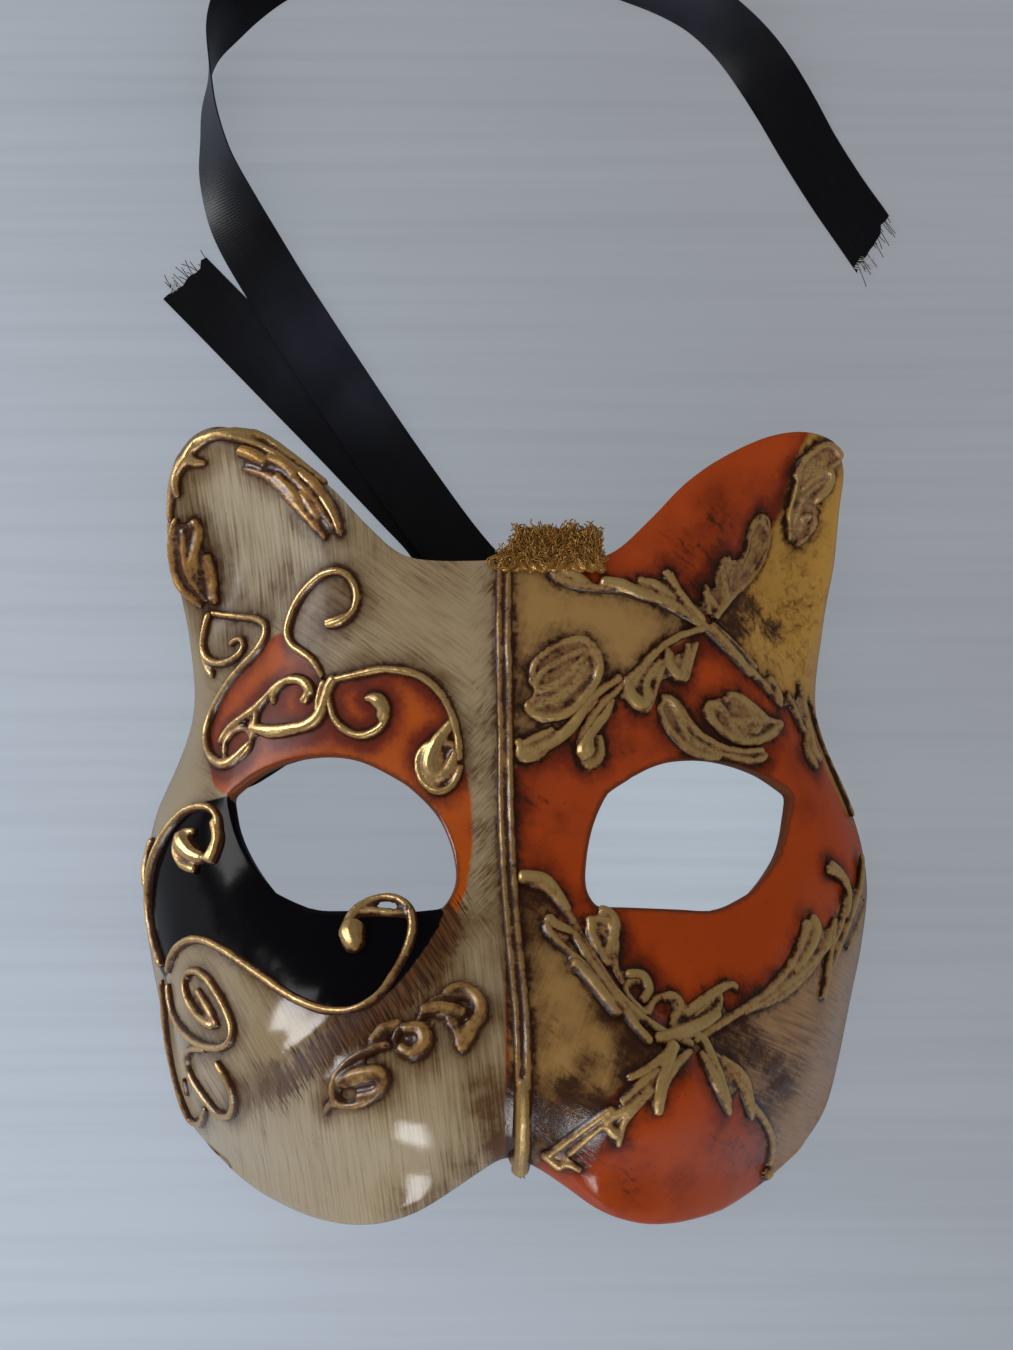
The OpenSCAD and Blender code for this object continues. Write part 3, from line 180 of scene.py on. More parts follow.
# ---- fine strokes of paste over and beside the broad ones ----
# x, y and half width, with z where a stroke stands off the skin
FINE_STROKES = {
    "left_brow_crest": [
        [(-35.3, 36.3, 0.49), (-34.1, 38.3, 0.49), (-31.7, 39.2, 0.49), (-31.3, 41.2, 0.39)],
        [(-34.1, 34.9, 0.78), (-30.8, 35.5, 0.88), (-28.8, 36.2, 0.78)]],
    "left_brow_scroll": [
        [(-54.5, 12, 0.59), (-54.3, 14.3, 0.59), (-52.7, 16.3, 0.59), (-50.5, 16.8, 0.59),
         (-48.9, 15.2, 0.59), (-49.2, 12.8, 0.59), (-51.4, 10.8, 0.59), (-53.8, 10.6, 0.59),
         (-54.5, 12, 0.59)],
        [(-49.2, 16.9, 0.99), (-45.7, 15.9, 1.08), (-41.4, 15.8, 1.08), (-37.3, 16.2, 1.18),
         (-35, 17.9, 1.18), (-34, 20.5, 1.08), (-33, 23.1, 1.08), (-31.9, 24.6, 0.99)],
        [(-44.4, 20.7, 0.68), (-44, 23.1, 0.78), (-41.9, 24.8, 0.88), (-38.9, 24.7, 0.99),
         (-37.1, 23.1, 1.18), (-36.7, 21.6, 1.08)]],
    "left_brow_hook": [
        [(-25.5, 20.5, 0.78), (-23.7, 19.8, 1.47), (-22.6, 18.2, 1.38), (-23.1, 16.1, 1.18)]],
    "left_brow_drop": [
        [(-13.5, 6.9, 0.79), (-13.4, 6.5, 0.79)],
        [(-9.8, 15.4, 0.79), (-12.6, 11.7, 1.4), (-13.9, 7.9, 1.58), (-12.9, 5.2, 1.4),
         (-10.6, 6.3, 1.23), (-9.1, 10.1, 0.88)]],
    "left_ear_rim_cord": [
        [(-61.4, 71.5, 0.88), (-57.9, 73.4, 1.05), (-54.6, 73.8, 1.14), (-50.5, 73.5, 1.14),
         (-46.3, 72.1, 1.05), (-34.6, 62.7, 0.61)],
        [(-61, 70.8, 0.88), (-63.6, 69.4, 1.05), (-65.3, 66.6, 0.96), (-66, 62.9, 0.88),
         (-66.3, 59, 0.79)]],
    "left_ear_leaf": [
        [(-51.9, 70.3, 1.23), (-48.6, 68.8, 1.4), (-46, 66.9, 1.23)],
        [(-46.1, 68.2, 1.23), (-42.7, 66.3, 1.31), (-40.2, 63.5, 1.23)],
        [(-44.3, 64.6, 0.88), (-40.9, 60.9, 1.05), (-39.2, 58.2, 0.96)],
        [(-40.3, 65.4, 1.05), (-36.9, 62.1, 1.23), (-34.8, 58.9, 1.05)],
        [(-39.2, 60.8, 0.88), (-36.7, 56.8, 0.96), (-35.4, 54.6, 0.79)],
        [(-36.1, 61.7, 0.88), (-33.5, 57.6, 0.96), (-31.8, 53.6, 0.79), (-31.2, 51.5, 0.53)]],
    "left_ear_side_leaves": [
        [(-66.3, 59, 0.79), (-65.2, 49.7, 0.88), (-63.4, 46.2, 0.79), (-60.5, 43.1, 0.79)],
        [(-61.8, 58.9, 1.05), (-60.7, 57, 0.96), (-61.1, 53.9, 0.88), (-62.4, 50.8, 0.88),
         (-62.1, 47.7, 0.79)],
        [(-63.5, 57, 0.7), (-63.6, 53.1, 0.79), (-62.9, 49.2, 0.79), (-61.3, 46.1, 0.7),
         (-59.7, 43.7, 0.7)],
        [(-59.6, 52.5, 1.05), (-58.4, 49.4, 1.05), (-58, 46.1, 0.96), (-57.6, 42.8, 0.79)]],
    "left_eye_spiral": [
        [(-62.5, -2.9, 1.47), (-62.2, -4.7, 1.99), (-60.2, -7.2, 1.57), (-57.7, -8.4, 1.04)],
        [(-56.2, -0.8, 0.95), (-55.1, -4, 1.16), (-55.6, -7.1, 1.16), (-56.7, -9.2, 1.16)]],
    "left_cheek_border": [
        [(-27.4, -22.1, 1.91), (-27.7, -24.6, 2.29), (-26.8, -27.2, 1.43)],
        [(-26.7, -20.2, 0.86), (-17.9, -20.2, 0.76), (-16.8, -23.8, 0.76)]],
    "left_cheek_loop_upper": [
        [(-57.9, -33.5, 0.74), (-55.3, -37, 0.84), (-53.2, -40.4, 0.74)]],
    "left_muzzle_hook": [
        [(-14.9, -38.7, 1.19), (-10.9, -38, 1.31), (-6.9, -39.1, 1.19)],
        [(-10.9, -35.9, 1.07), (-7.8, -34.5, 1.19), (-4.9, -36.4, 1.31), (-4.5, -39.5, 1.31),
         (-6.7, -42, 1.19), (-8.4, -45, 0.84)],
        [(-10.1, -40.3, 0.95), (-8.5, -41.8, 1.07), (-8, -44.2, 0.84)]],
    "left_muzzle_scroll": [
        [(-18, -41.8, 1.23), (-14.8, -41.8, 1.49), (-14, -44.2, 1.49), (-16.3, -45.9, 1.23),
         (-18.7, -44.6, 0.99)],
        [(-23.5, -44.2, 0.99), (-21.2, -41.8, 1.23), (-18, -41, 1.23)],
        [(-29.1, -51.2, 0.99), (-26.6, -49.6, 1.23), (-22.6, -48.9, 1.37), (-20.8, -50, 1.12),
         (-22.2, -52.3, 0.99), (-25.8, -53.1, 0.99)]],
    "right_forehead_spray": [
        [(9.1, 46, 0.81), (10.6, 44.3, 1.22), (13.4, 42.7, 1.22), (16.1, 41.3, 0.61)],
        [(17.7, 42, 1.22), (21.6, 41.3, 1.42), (25.6, 39.8, 1.22), (30.3, 38.8, 0.92),
         (32.7, 37.8, 0.81)],
        [(24.8, 42.6, 0.81), (28, 41.9, 1.02), (30.3, 40.4, 0.92)],
        [(30, 44.7, 0.81), (32, 41.3, 0.71), (34.4, 37.5, 0.71), (36, 35.7, 0.81)]],
    "right_ear_sprig": [
        [(49.1, 58.7, 0.51), (51.2, 58.1, 0.51), (51, 54.5, 0.51), (48.7, 50, 0.51),
         (44.8, 43.9, 0.51)],
        [(49.1, 58.7, 0.51), (47.4, 55.7, 0.51), (46.7, 52.1, 0.51), (44.4, 47.9, 0.51)],
        [(42.6, 49.3, 0.51), (43.2, 46.3, 0.51), (42.5, 42.1, 0.51), (41.1, 38.4, 0.51)],
        [(42.1, 49, 0.51), (40.4, 46.1, 0.41), (40.2, 43.6, 0.41)],
        [(37.8, 42.8, 0.61), (38.6, 40.5, 0.81), (40.2, 38.3, 0.81)]],
    "right_ear_tip_leaf": [
        [(57.3, 64.9, 0.61), (59.2, 67.1, 0.61), (63.4, 68.5, 0.61), (65.6, 70.4, 0.71)],
        [(56.5, 57, 0.61), (57.6, 60.7, 0.71), (59.1, 63.6, 0.71), (64.3, 67.5, 0.61)],
        [(59.6, 61.4, 0.61), (61, 60.3, 0.61), (60.6, 57.7, 0.51), (57.6, 55.9, 0.51)],
        [(56.3, 66.1, 0.61), (57.8, 69.1, 0.71), (61.5, 71.8, 0.81)]],
    "right_forehead_ring": [
        [(4.7, 23.4, 0.61), (5.8, 26.5, 0.71), (9.7, 29.3, 0.71), (13.6, 30.6, 0.71),
         (15.3, 29.9, 0.71), (14.8, 27.5, 0.61), (11.3, 23.5, 0.71), (7.4, 21.5, 0.71),
         (5.1, 22, 0.61), (4.7, 23.4, 0.61)],
        [(15.6, 29.9, 0.71), (17.1, 27.6, 0.81), (16.9, 23.7, 0.92), (13.6, 19, 1.02),
         (9.7, 16.3, 1.02), (5.1, 16.6, 0.81), (3.9, 18.1, 0.61), (5.1, 19.2, 0.51),
         (8.9, 19.7, 0.61), (12.8, 22.8, 0.61), (15.2, 26.7, 0.61)]],
    "right_forehead_leaf": [
        [(2, 12, 0.81), (3.5, 9.8, 1.12), (7.4, 10.9, 1.22), (12, 14.4, 1.22),
         (15.9, 19.9, 0.92), (21.4, 23.9, 0.81)]],
    "right_brow_drops": [
        [(22.2, 24, 0.81), (23, 21, 1.32), (24.7, 19.2, 1.52), (26.2, 20.4, 1.22),
         (26.2, 23.5, 0.92), (29, 27.5, 0.81)],
        [(30.2, 30, 0.61), (30.4, 26.8, 1.12), (32.6, 24.7, 1.12), (33.4, 27.1, 0.81),
         (34.3, 31.1, 0.61)],
        [(19.8, 20.1, 0.61), (18.3, 16.9, 1.02), (15.3, 13, 1.22), (14.6, 10.1, 2.03),
         (15.5, 9.1, 1.83)]],
    "right_eye_crescent": [
        [(29, 20.6, 0.81), (31, 20, 1.02), (32.6, 17, 0.92), (34.3, 13.6, 0.81),
         (38.4, 11.6, 0.81), (44.2, 10.4, 0.81), (48.4, 10.4, 0.71), (50.2, 11.8, 0.61)],
        [(28.8, 19.2, 0.81), (29.8, 16, 0.81), (32.6, 13.1, 0.81), (35.9, 11, 0.61)]],
    "right_brow_leaves": [
        [(37.6, 19.7, 0.81), (39.2, 20.3, 0.92), (41.7, 18.6, 0.81), (44.2, 14.8, 0.71),
         (46.8, 13.9, 0.71), (49.4, 15, 0.81), (53.6, 18.3, 0.71)],
        [(41.8, 22.1, 0.81), (44.3, 22, 0.92), (47.8, 20.1, 0.92), (50.4, 18.4, 0.81),
         (53.6, 18.3, 0.61)],
        [(46.9, 19.2, 0.81), (48.6, 17, 0.92), (46.8, 15.5, 0.81)],
        [(37.6, 19.7, 0.81), (38.8, 17.1, 0.81), (42.1, 15, 0.71), (45.1, 14.1, 0.71)]],
    "right_temple_sprig": [
        [(36, 35.7, 0.81), (37.6, 34.7, 0.81), (41.8, 31.2, 0.81), (47, 26.8, 0.92)],
        [(38.9, 35.6, 0.51), (43.5, 32.3, 0.51), (48.1, 28.2, 0.61)],
        [(50.6, 27.1, 0.81), (52, 24.9, 1.02), (53.5, 22.5, 0.71)],
        [(57.7, 26.9, 0.61), (58.7, 22.1, 0.71), (59.5, 18.9, 0.92), (60, 13.7, 1.22),
         (62, 12.4, 0.81)]],
    "right_nose_stem": [
        [(2.2, -14.2, 1.44), (6.3, -14.4, 1.33), (8.8, -16.3, 1), (11.2, -20.5, 0.89)],
        [(7.1, -21.4, 1.22), (8.7, -23.1, 1.22), (12, -24.6, 0.89), (14.4, -28.8, 0.89),
         (17.5, -33.7, 0.89), (22.1, -40.2, 0.89), (25.2, -44.1, 0.89)],
        [(11.9, -29.7, 1), (14.2, -32.1, 1.11), (17.4, -36.2, 1.11), (19.7, -39.4, 0.89)]],
    "right_nose_hooks": [
        [(16.6, -20.4, 1.33), (19.1, -21.2, 1.11), (19.4, -24.6, 1.11), (17.7, -28.7, 0.89)],
        [(15.3, -21.3, 1), (15.7, -25.4, 0.89), (18.4, -30.4, 0.78)],
        [(21.2, -32, 1.11), (24.1, -32, 1.11), (25.3, -34.4, 1), (23.9, -36.9, 0.89)]],
    "right_cheek_hooks": [
        [(27.3, -36, 0.89), (29.8, -35.6, 0.89), (31, -37.6, 0.89), (29.2, -40.1, 0.89)],
        [(26, -43.3, 1), (30.3, -42.5, 1.55), (33.8, -40.8, 1.33), (38.2, -38.3, 1)],
        [(31.4, -39.2, 1), (35.7, -35.9, 1), (40.1, -33.3, 0.89), (41.8, -34.1, 0.78)]],
    "right_cheek_arm": [
        [(42.5, -38.2, 0.78), (49.1, -34.7, 0.78), (57.1, -28.4, 0.89), (63.5, -21.9, 0.78),
         (66.1, -13.7, 0.78)],
        [(57.5, -19.3, 1), (58.4, -22.3, 1.33), (56.2, -26.7, 1.11), (53.1, -30.3, 0.78)]],
    "right_temple_sprays": [
        [(62.1, -8.8, 1), (65.1, -11.2, 1), (66.3, -14.6, 0.89), (64.9, -18.3, 0.78)],
        [(62.5, -20.2, 0.89), (61.2, -27.3, 0.89), (59.7, -35.1, 0.89)]],
    "right_muzzle_leaves": [
        [(31.2, -41.6, 1.11), (34.6, -43.2, 1.11), (36.9, -48, 1.11), (39.5, -54.4, 0.89)],
        [(29.3, -44.1, 1.33), (27.5, -48.1, 1.33), (26.2, -52.7, 1.22), (26.2, -55.9, 0.89)],
        [(37.9, -46.4, 0.89), (42.4, -49.6, 1), (44.3, -54.4, 0.78)],
        [(21, -50, 0.67), (25, -48.1, 0.89), (29.3, -44.9, 1)]],
    "right_muzzle_branch": [
        [(19.5, -59.7, 1.11), (17.5, -57, 1), (21.8, -54.3, 0.89), (25, -51.2, 0.78)],
        [(6.5, -62.6, 0.89), (10.1, -65.3, 1)],
        [(10.9, -62.9, 0.67), (17.1, -57.4, 0.78)]],
    "left_temple_loop": [
        [(-70.2, -2.5, 0.9), (-71.2, -6, 1.1), (-71.4, -10.1, 1.1), (-71.0, -13, 0.8)]],
    "centre_rib": [
        [(2.9, -50, 1.1, 59.0), (3.0, -54, 1.25, 57.6), (3.0, -58, 1.35, 55.3),
         (2.9, -61.5, 1.4, 52.2), (2.7, -64.4, 1.45, 48.6), (2.5, -66.2, 1.6, 45.6)],
        [(2.45, -66.2, 1.9, 45.6), (2.4, -66.8, 1.95, 44.8)]]}

# ---- ribbon routes: x, y, z and lean, in millimetres and degrees ----
LEFT_TIE = [
    (-59.8, -7.6, 15.4, 44), (-59.8, -2.4, 14.4, 45), (-59, 3, 12.8, 48), (-56, 7.6, 11, 53),
    (-50, 10.4, 9, 60), (-42.5, 14.6, 7.6, 68), (-35, 20, 6.9, 78), (-27, 25.6, 6.7, 88),
    (-19.5, 30.8, 6.7, 88), (-13.4, 35.6, 6.4, 76), (-9.6, 41, 5.2, 50), (-9, 47, 2.8, 22),
    (-11, 53.5, 1.1, 5), (-15, 60.5, 0.6, 0), (-22, 68.2, 0.6, 0), (-33, 80, 0.6, 0),
    (-44.5, 92, 0.6, 0), (-56, 104, 0.6, 0), (-67, 115.4, 0.6, 0)]
RIGHT_TIE = [
    (59.8, -7.6, 15.2, -44), (59.7, -2.4, 14, -45), (59.2, 3.2, 12.2, -48), (57.6, 9.2, 10.4, -53),
    (54.6, 15.2, 9.2, -58), (49.6, 20.3, 8.4, -62), (43, 24.6, 8, -60), (33, 28.5, 8.2, -54),
    (23, 32.2, 8.6, -46), (13, 37, 8.4, -36), (4, 42.8, 7, -26), (-4, 49.6, 4.6, -14),
    (-11, 57.8, 2.4, -4), (-18.6, 68.4, 1.6, 0), (-26.4, 79.8, 1.6, 0), (-34.4, 92, 1.6, 0),
    (-42.4, 104.4, 1.5, 0), (-50, 116.6, 1.2, 4), (-56, 127, 2.8, 22), (-60, 136.6, 5, 46),
    (-62, 146, 6.3, 66), (-62.6, 155, 6.7, 76), (-62, 163.4, 6.9, 90), (-60, 170, 6.4, 112),
    (-56.6, 176.4, 4.9, 136), (-50.6, 182.8, 3.2, 154), (-42, 187.8, 1.9, 168),
    (-30, 191.2, 1.1, 176), (-16, 192.8, 0.7, 180), (-2, 192, 0.6, 180), (12, 189.4, 0.6, 180),
    (25, 184.8, 2.0, 166), (36, 179, 4.0, 144), (45, 171.6, 4.8, 134), (52.4, 163.8, 3.6, 148),
    (58.6, 155, 1.5, 170), (63.8, 145.6, 0.6, 180), (69, 136.4, 0.6, 180), (77, 123.8, 0.6, 180)]


# Colour of the sheen painted into the black satin
PAINTED_SATIN_SHEEN = (0.013, 0.014, 0.026)
# Places where a sheen is painted into the satin's colour, where it bends to the light: x, y and
# reach
PAINTED_SHEEN_SPOTS = [(-37.5, 102, 15), (-30, 90, 9), (-61, 150, 16), (12, 190, 22), (36, 178, 14)]


# ---- settings ----
def colour(label, value, description):
    """A colour setting, as linear red, green and blue."""
    return FloatVectorProperty(name=label, description=description, default=value, size=3,
                               min=0.0, max=1.0, subtype="COLOR")


def size(label, value, description):
    """A length setting in metres."""
    return FloatProperty(name=label, description=description, default=value, min=0.0,
                         precision=5, unit="LENGTH")


def plain_number(label, value, description):
    """A setting without a unit."""
    return FloatProperty(name=label, description=description, default=value)


class MaskPaint(bpy.types.PropertyGroup):
    """Colours of the painted papier-mache."""

    cream: colour("Cream", (0.41, 0.335, 0.225), "Palest cream of the left side")
    cream_dull: colour("Dull cream", (0.295, 0.215, 0.120), "Cream under the brown glaze")
    cream_glaze: colour("Cream glaze", (0.115, 0.060, 0.022), "Brown glaze in the brush marks")
    orange: colour("Orange", (0.33, 0.043, 0.004), "Burnt orange of the right side")
    orange_deep: colour("Deep orange", (0.12, 0.013, 0.003), "Red brown in the orange clouds")
    amber: colour("Amber", (0.37, 0.064, 0.004), "Lighter orange over the left eye")
    black: colour("Black", (0.003, 0.0024, 0.003), "Gloss black under the left eye")
    ochre: colour("Ochre", (0.295, 0.162, 0.052), "Ochre of the forehead and nose")
    ear_gold: colour("Ear gold", (0.54, 0.285, 0.062), "Gold leaf in the right ear")
    cheek: colour("Cheek", (0.295, 0.158, 0.070), "Grey beige of the right cheek")
    # Umber darkens the corners beside the relief: painted shade with dark glaze
    umber: colour("Umber", (0.028, 0.009, 0.004), "Dark glaze in the corners")
    paper: colour("Paper", (0.33, 0.25, 0.16), "Bare paper of the inside")
    undulation: size("Undulation", 0.16 * MM, "Hand-laid unevenness of the paper")


class MaskGilding(bpy.types.PropertyGroup):
    """Colours and sizes of the gilded relief."""

    polished: colour("Polished gold", (0.52, 0.335, 0.130), "Smooth piping of the left side")
    antique: colour("Antique gold", (0.43, 0.272, 0.092), "Leaves of the right side")
    browned: colour("Browned gold", (0.42, 0.225, 0.058), "Ear leaves and muzzle scrolls")
    # The flanks and recesses of the paste are darker partly as painted shade, with brown glaze
    middle: colour("Middle gold", (0.21, 0.09, 0.024), "Flanks of the strokes")
    recess: colour("Recess", (0.045, 0.014, 0.004), "Brown glaze left beside the gold")
    voxel: size("Modelling size", 0.24 * MM, "Grain at which the paste is modelled")
    swell: size("Blending", 0.30 * MM, "How far joining strokes run into each other")
    seat: size("Seat", 0.4 * MM, "How far the foot of a stroke sinks into the paper")
    foot: size("Foot", 0.28 * MM, "How far the foot of a stroke spreads")


class MaskRibbons(bpy.types.PropertyGroup):
    """Sizes and colour of the satin ties."""

    width: size("Width", 12.7 * MM, "Half-inch ribbon")
    thickness: size("Thickness", 0.34 * MM, "Thickness of the satin")
    step: size("Step", 0.9 * MM, "Spacing of the rings along a ribbon")
    satin: colour("Satin", (0.0028, 0.0028, 0.0042), "Black satin")
    pale_thread: colour("Pale thread", (0.42, 0.40, 0.38), "Weft showing where the ends fray")


class MaskBraid(bpy.types.PropertyGroup):
    """Sizes and colours of the metallic braid tab."""

    threads: IntProperty(name="Threads", description="Curled threads on the tab", default=420,
                         min=10)
    thread: size("Thread radius", 0.13 * MM, "Half the thickness of one thread")
    bright: colour("Bright thread", (0.52, 0.26, 0.05), "Metallic face of a thread")
    dull: colour("Dull thread", (0.09, 0.028, 0.005), "Core of a thread")


class MaskStage(bpy.types.PropertyGroup):
    """Camera, table and light."""

    distance: size("Camera distance", 480 * MM, "From the middle of the view to the camera")
    elevation: FloatProperty(name="Elevation", description="Camera height above the table",
                             default=math.radians(80), subtype="ANGLE")
    view_angle: FloatProperty(name="Field of view", description="Upright field of view",
                              default=math.radians(32), subtype="ANGLE")
    target: FloatVectorProperty(name="Target", description="Middle of the view on the table",
                                default=(0.1 * MM, 31.35 * MM, 0.0), size=3, unit="LENGTH")
    table: colour("Table", (0.50, 0.565, 0.655), "Pale painted table near the windows")
    # The table's colour away from the windows, a painted shade
    table_painted_shade: colour("Far table", (0.315, 0.333, 0.362), "The same table away from the windows")
    table_evenness: FloatProperty(
        name="Evenness", description="Share of the table seen without shadows", default=0.72,
        min=0.0, max=1.0)
    window: plain_number("Windows", 14.0, "Brightness of the two window panes")
    window_glow: plain_number("Window glow", 3.4, "Light that the windows give")
    fill: plain_number("Fill", 0.82, "Even light of the room on matt surfaces")
    room: plain_number("Room", 0.14, "Brightness of the low surround in gloss")
    ceiling: plain_number("Ceiling", 0.06, "Brightness of the room overhead")
    low_edge: plain_number("Low edge", 0.0, "Height at which the surround starts to fade")
    high_edge: plain_number("High edge", 0.36, "Height at which the surround ends")


# ---- shader formulas ----
class Tone:
    """A shader value in a formula: each sign adds the Math node that it stands for."""

    def __init__(self, finish, socket):
        self.finish = finish
        self.socket = socket

    def joined(self, operation, first, second):
        return self.finish.node("Math", {"operation": operation}, {0: first, 1: second})

    def __add__(self, other):
        return self.joined("ADD", self, other)

    __radd__ = __add__

    def __sub__(self, other):
        return self.joined("SUBTRACT", self, other)

    def __rsub__(self, other):
        return self.joined("SUBTRACT", other, self)

    def __mul__(self, other):
        return self.joined("MULTIPLY", self, other)

    __rmul__ = __mul__


class Finish:
    """One material, or the world, and the nodes of its tree."""

    def __init__(self, name, owners=None):
        self.material = (bpy.data.materials if owners is None else owners).new(name)
        self.material.use_nodes = True
        self.tree = self.material.node_tree
        self.tree.nodes.clear()

    def node(self, kind, settings=None, sockets=None, out=0):
        """Adds a node: first its settings, then the values and links of its sockets."""
        made = self.tree.nodes.new("ShaderNode" + kind)
        for key, value in (settings or {}).items():
            if key == "stops":
                ramp = made.color_ramp.elements
                while len(ramp) < len(value):
                    ramp.new(0.5)
                for stop, (place, shade) in zip(ramp, value):
                    stop.position = place
                    stop.color = (*shade, 1.0)
            else:
                setattr(made, key, value)
        for key, value in (sockets or {}).items():
            socket = made.inputs[key]
            if isinstance(value, Tone):
                self.tree.links.new(value.socket, socket)
            elif socket.type == "RGBA" and len(value) == 3:
                socket.default_value = (*value, 1.0)
            else:
                socket.default_value = value
        return Tone(self, made.outputs[out]) if made.outputs else None

    def mapped(self, where, scale=(1.0, 1.0, 1.0), turn=(0.0, 0.0, 0.0), shift=(0.0, 0.0, 0.0)):
        """Coordinates scaled, then turned, then shifted."""
        return self.node("Mapping", {}, {"Vector": where, "Scale": scale, "Rotation": turn,
                                         "Location": shift})

    def place(self):
        """Object coordinates in millimetres."""
        return self.mapped(self.node("TexCoord", out="Object"), (1000.0, 1000.0, 1000.0))

    def streaks(self, angle, fine, long, seed):
        """Brush marks that run at an angle from +X: fine across them, long along them."""
        where = self.node("TexCoord", out="Object")
        turned = self.mapped(where, turn=(0.0, 0.0, -math.radians(angle)),
                             shift=(seed * 0.037, seed * 0.011, 0.0))
        drawn = self.mapped(turned, (1000.0 / long, 1000.0 / fine, 1000.0 / long))
        return self.noise(drawn, 1.0, 3.0, 0.62)

    def noise(self, where, scale, detail=2.0, rough=0.5, twist=0.0):
        return self.node("TexNoise", {"noise_dimensions": "3D"}, {
            "Vector": where, "Scale": scale, "Detail": detail, "Roughness": rough,
            "Distortion": twist}, out=0)

    def step(self, value, low, high):
        """0 below low, 1 above high and smooth between."""
        return self.node("MapRange", {"interpolation_type": "SMOOTHSTEP", "clamp": True}, {
            "Value": value, "From Min": low, "From Max": high})

    def own(self, name):
        """A value that the piece carries on its points."""
        return self.node("Attribute", {"attribute_name": name}, out="Fac")

    def mix(self, amount, first, second):
        """A colour between two others."""
        return self.node("Mix", {"data_type": "RGBA"}, {0: amount, 6: first, 7: second}, out=2)

    def between(self, amount, first, second):
        """A number between two others."""
        return self.node("Mix", {"data_type": "FLOAT"}, {0: amount, 2: first, 3: second})

    def bump(self, height, depth, strength=1.0):
        return self.node("Bump", {}, {"Height": height, "Distance": depth, "Strength": strength})

    def shader(self, **sockets):
        """A Principled shader. Underscores in a socket's name stand for spaces."""
        return self.node("BsdfPrincipled", {}, {
            key.replace("_", " "): value for key, value in sockets.items()})

    def layered(self, amount, under, over):
        """One shader laid over another."""
        return self.node("MixShader", {}, {0: amount, 1: under, 2: over})

    def close(self, shader, output="OutputMaterial"):
        """Ends the tree and gives back the material or world."""
        self.node(output, {}, {"Surface": shader})
        return self.material

    def surface(self, **sockets):
        return self.close(self.shader(**sockets))


# ---- mesh helpers ----
def scaled_colour(shade, share):
    """A colour made darker, or brighter where the share is over 1."""
    return tuple(c * share for c in shade)


def read(items, field, width=1, kind=float):
    """What each of a mesh's items holds, a row for each where it is more than one number."""
    flat = np.empty(len(items) * width, kind)
    items.foreach_get(field, flat)
    return flat.reshape(-1, width) if width > 1 else flat


def points_of(mesh):
    """A mesh's points in millimetres."""
    return read(mesh.vertices, "co", 3) / MM


def normals_of(mesh):
    return read(mesh.vertex_normals, "vector", 3)


def put_points(mesh, points):
    mesh.vertices.foreach_set("co", (points * MM).ravel())
    mesh.update()


def carry(mesh, name, values):
    """Stores one number a point for the piece's material to read."""
    kept = mesh.attributes.get(name) or mesh.attributes.new(name, "FLOAT", "POINT")
    kept.data.foreach_set("value", np.asarray(values, np.float32))


def spread(values, pairs, rounds):
    """Averages one number a point with its neighbours, some rounds over."""
    count = np.bincount(pairs.ravel(), minlength=len(values)).clip(1)
    for _ in range(rounds):
        total = np.bincount(pairs[:, 0], values[pairs[:, 1]], len(values))
        total += np.bincount(pairs[:, 1], values[pairs[:, 0]], len(values))
        values = 0.5 * values + 0.5 * total / count
    return values


def rise(values, low, high):
    """0 below low, 1 above high and smooth between, for arrays."""
    t = np.clip((values - low) / (high - low), 0.0, 1.0)
    return t * t * (3 - 2 * t)


def ripple(points, wavelength, seed, octaves=2):
    """A smooth wandering height of about -1 to 1 at each point."""
    rng = np.random.default_rng(seed)
    total = np.zeros(len(points))
    weight = 0.0
    for octave in range(octaves):
        strength = 0.5 ** octave
        for _ in range(6):
            way = rng.normal(size=3)
            way *= 2 * math.pi / (wavelength * rng.uniform(0.7, 1.4) * np.linalg.norm(way))
            total += strength * np.sin(points @ way * 2 ** octave + rng.uniform(0, 2 * math.pi))
        weight += strength * 3
    return total / weight


def depth_inside(points, outline):
    """Millimetres from each point to an outline in plan: positive inside it, negative outside."""
    x, y = points[:, 0], points[:, 1]
    nearest = np.full(len(points), 1e9)
    inside = np.zeros(len(points), bool)
    corners = np.array(outline, float)
    for a, b in zip(corners, np.roll(corners, -1, axis=0)):
        edge = b - a
        t = np.clip(((x - a[0]) * edge[0] + (y - a[1]) * edge[1]) / (edge @ edge), 0, 1)
        nearest = np.minimum(nearest, np.hypot(x - a[0] - t * edge[0], y - a[1] - t * edge[1]))
        spans = (a[1] > y) != (b[1] > y)
        level = edge[1] if edge[1] else 1e-9
        inside ^= spans & (x < a[0] + (y - a[1]) * edge[0] / level)
    return np.where(inside, nearest, -nearest)


def from_line(points, line):
    """Millimetres from each point to an open line in plan."""
    nearest = np.full(len(points), 1e9)
    corners = np.array(line, float)
    for a, b in zip(corners[:-1], corners[1:]):
        edge = b - a
        t = np.clip(((points[:, :2] - a) @ edge) / (edge @ edge), 0, 1)
        nearest = np.minimum(nearest, np.linalg.norm(points[:, :2] - a - t[:, None] * edge, axis=1))
    return nearest


def welded(node):
    """A copy of a CAD node with its loose triangles merged and paired into quads."""
    form = bmesh.new()
    form.from_mesh(frame["nodes"][node].data)
    bmesh.ops.remove_doubles(form, verts=form.verts, dist=1e-6)
    bmesh.ops.join_triangles(form, faces=form.faces, angle_face_threshold=0.7,
                             angle_shape_threshold=3.1)
    return form


def placed(name, data):
    """A new object in the scene."""
    made = bpy.data.objects.new(name, data)
    bpy.context.scene.collection.objects.link(made)
    return made


def piece_from(form, name):
    """A new smooth shaded object from a bmesh."""
    mesh = bpy.data.meshes.new(name)
    form.to_mesh(mesh)
    form.free()
    mesh.shade_smooth()
    return placed(name, mesh)


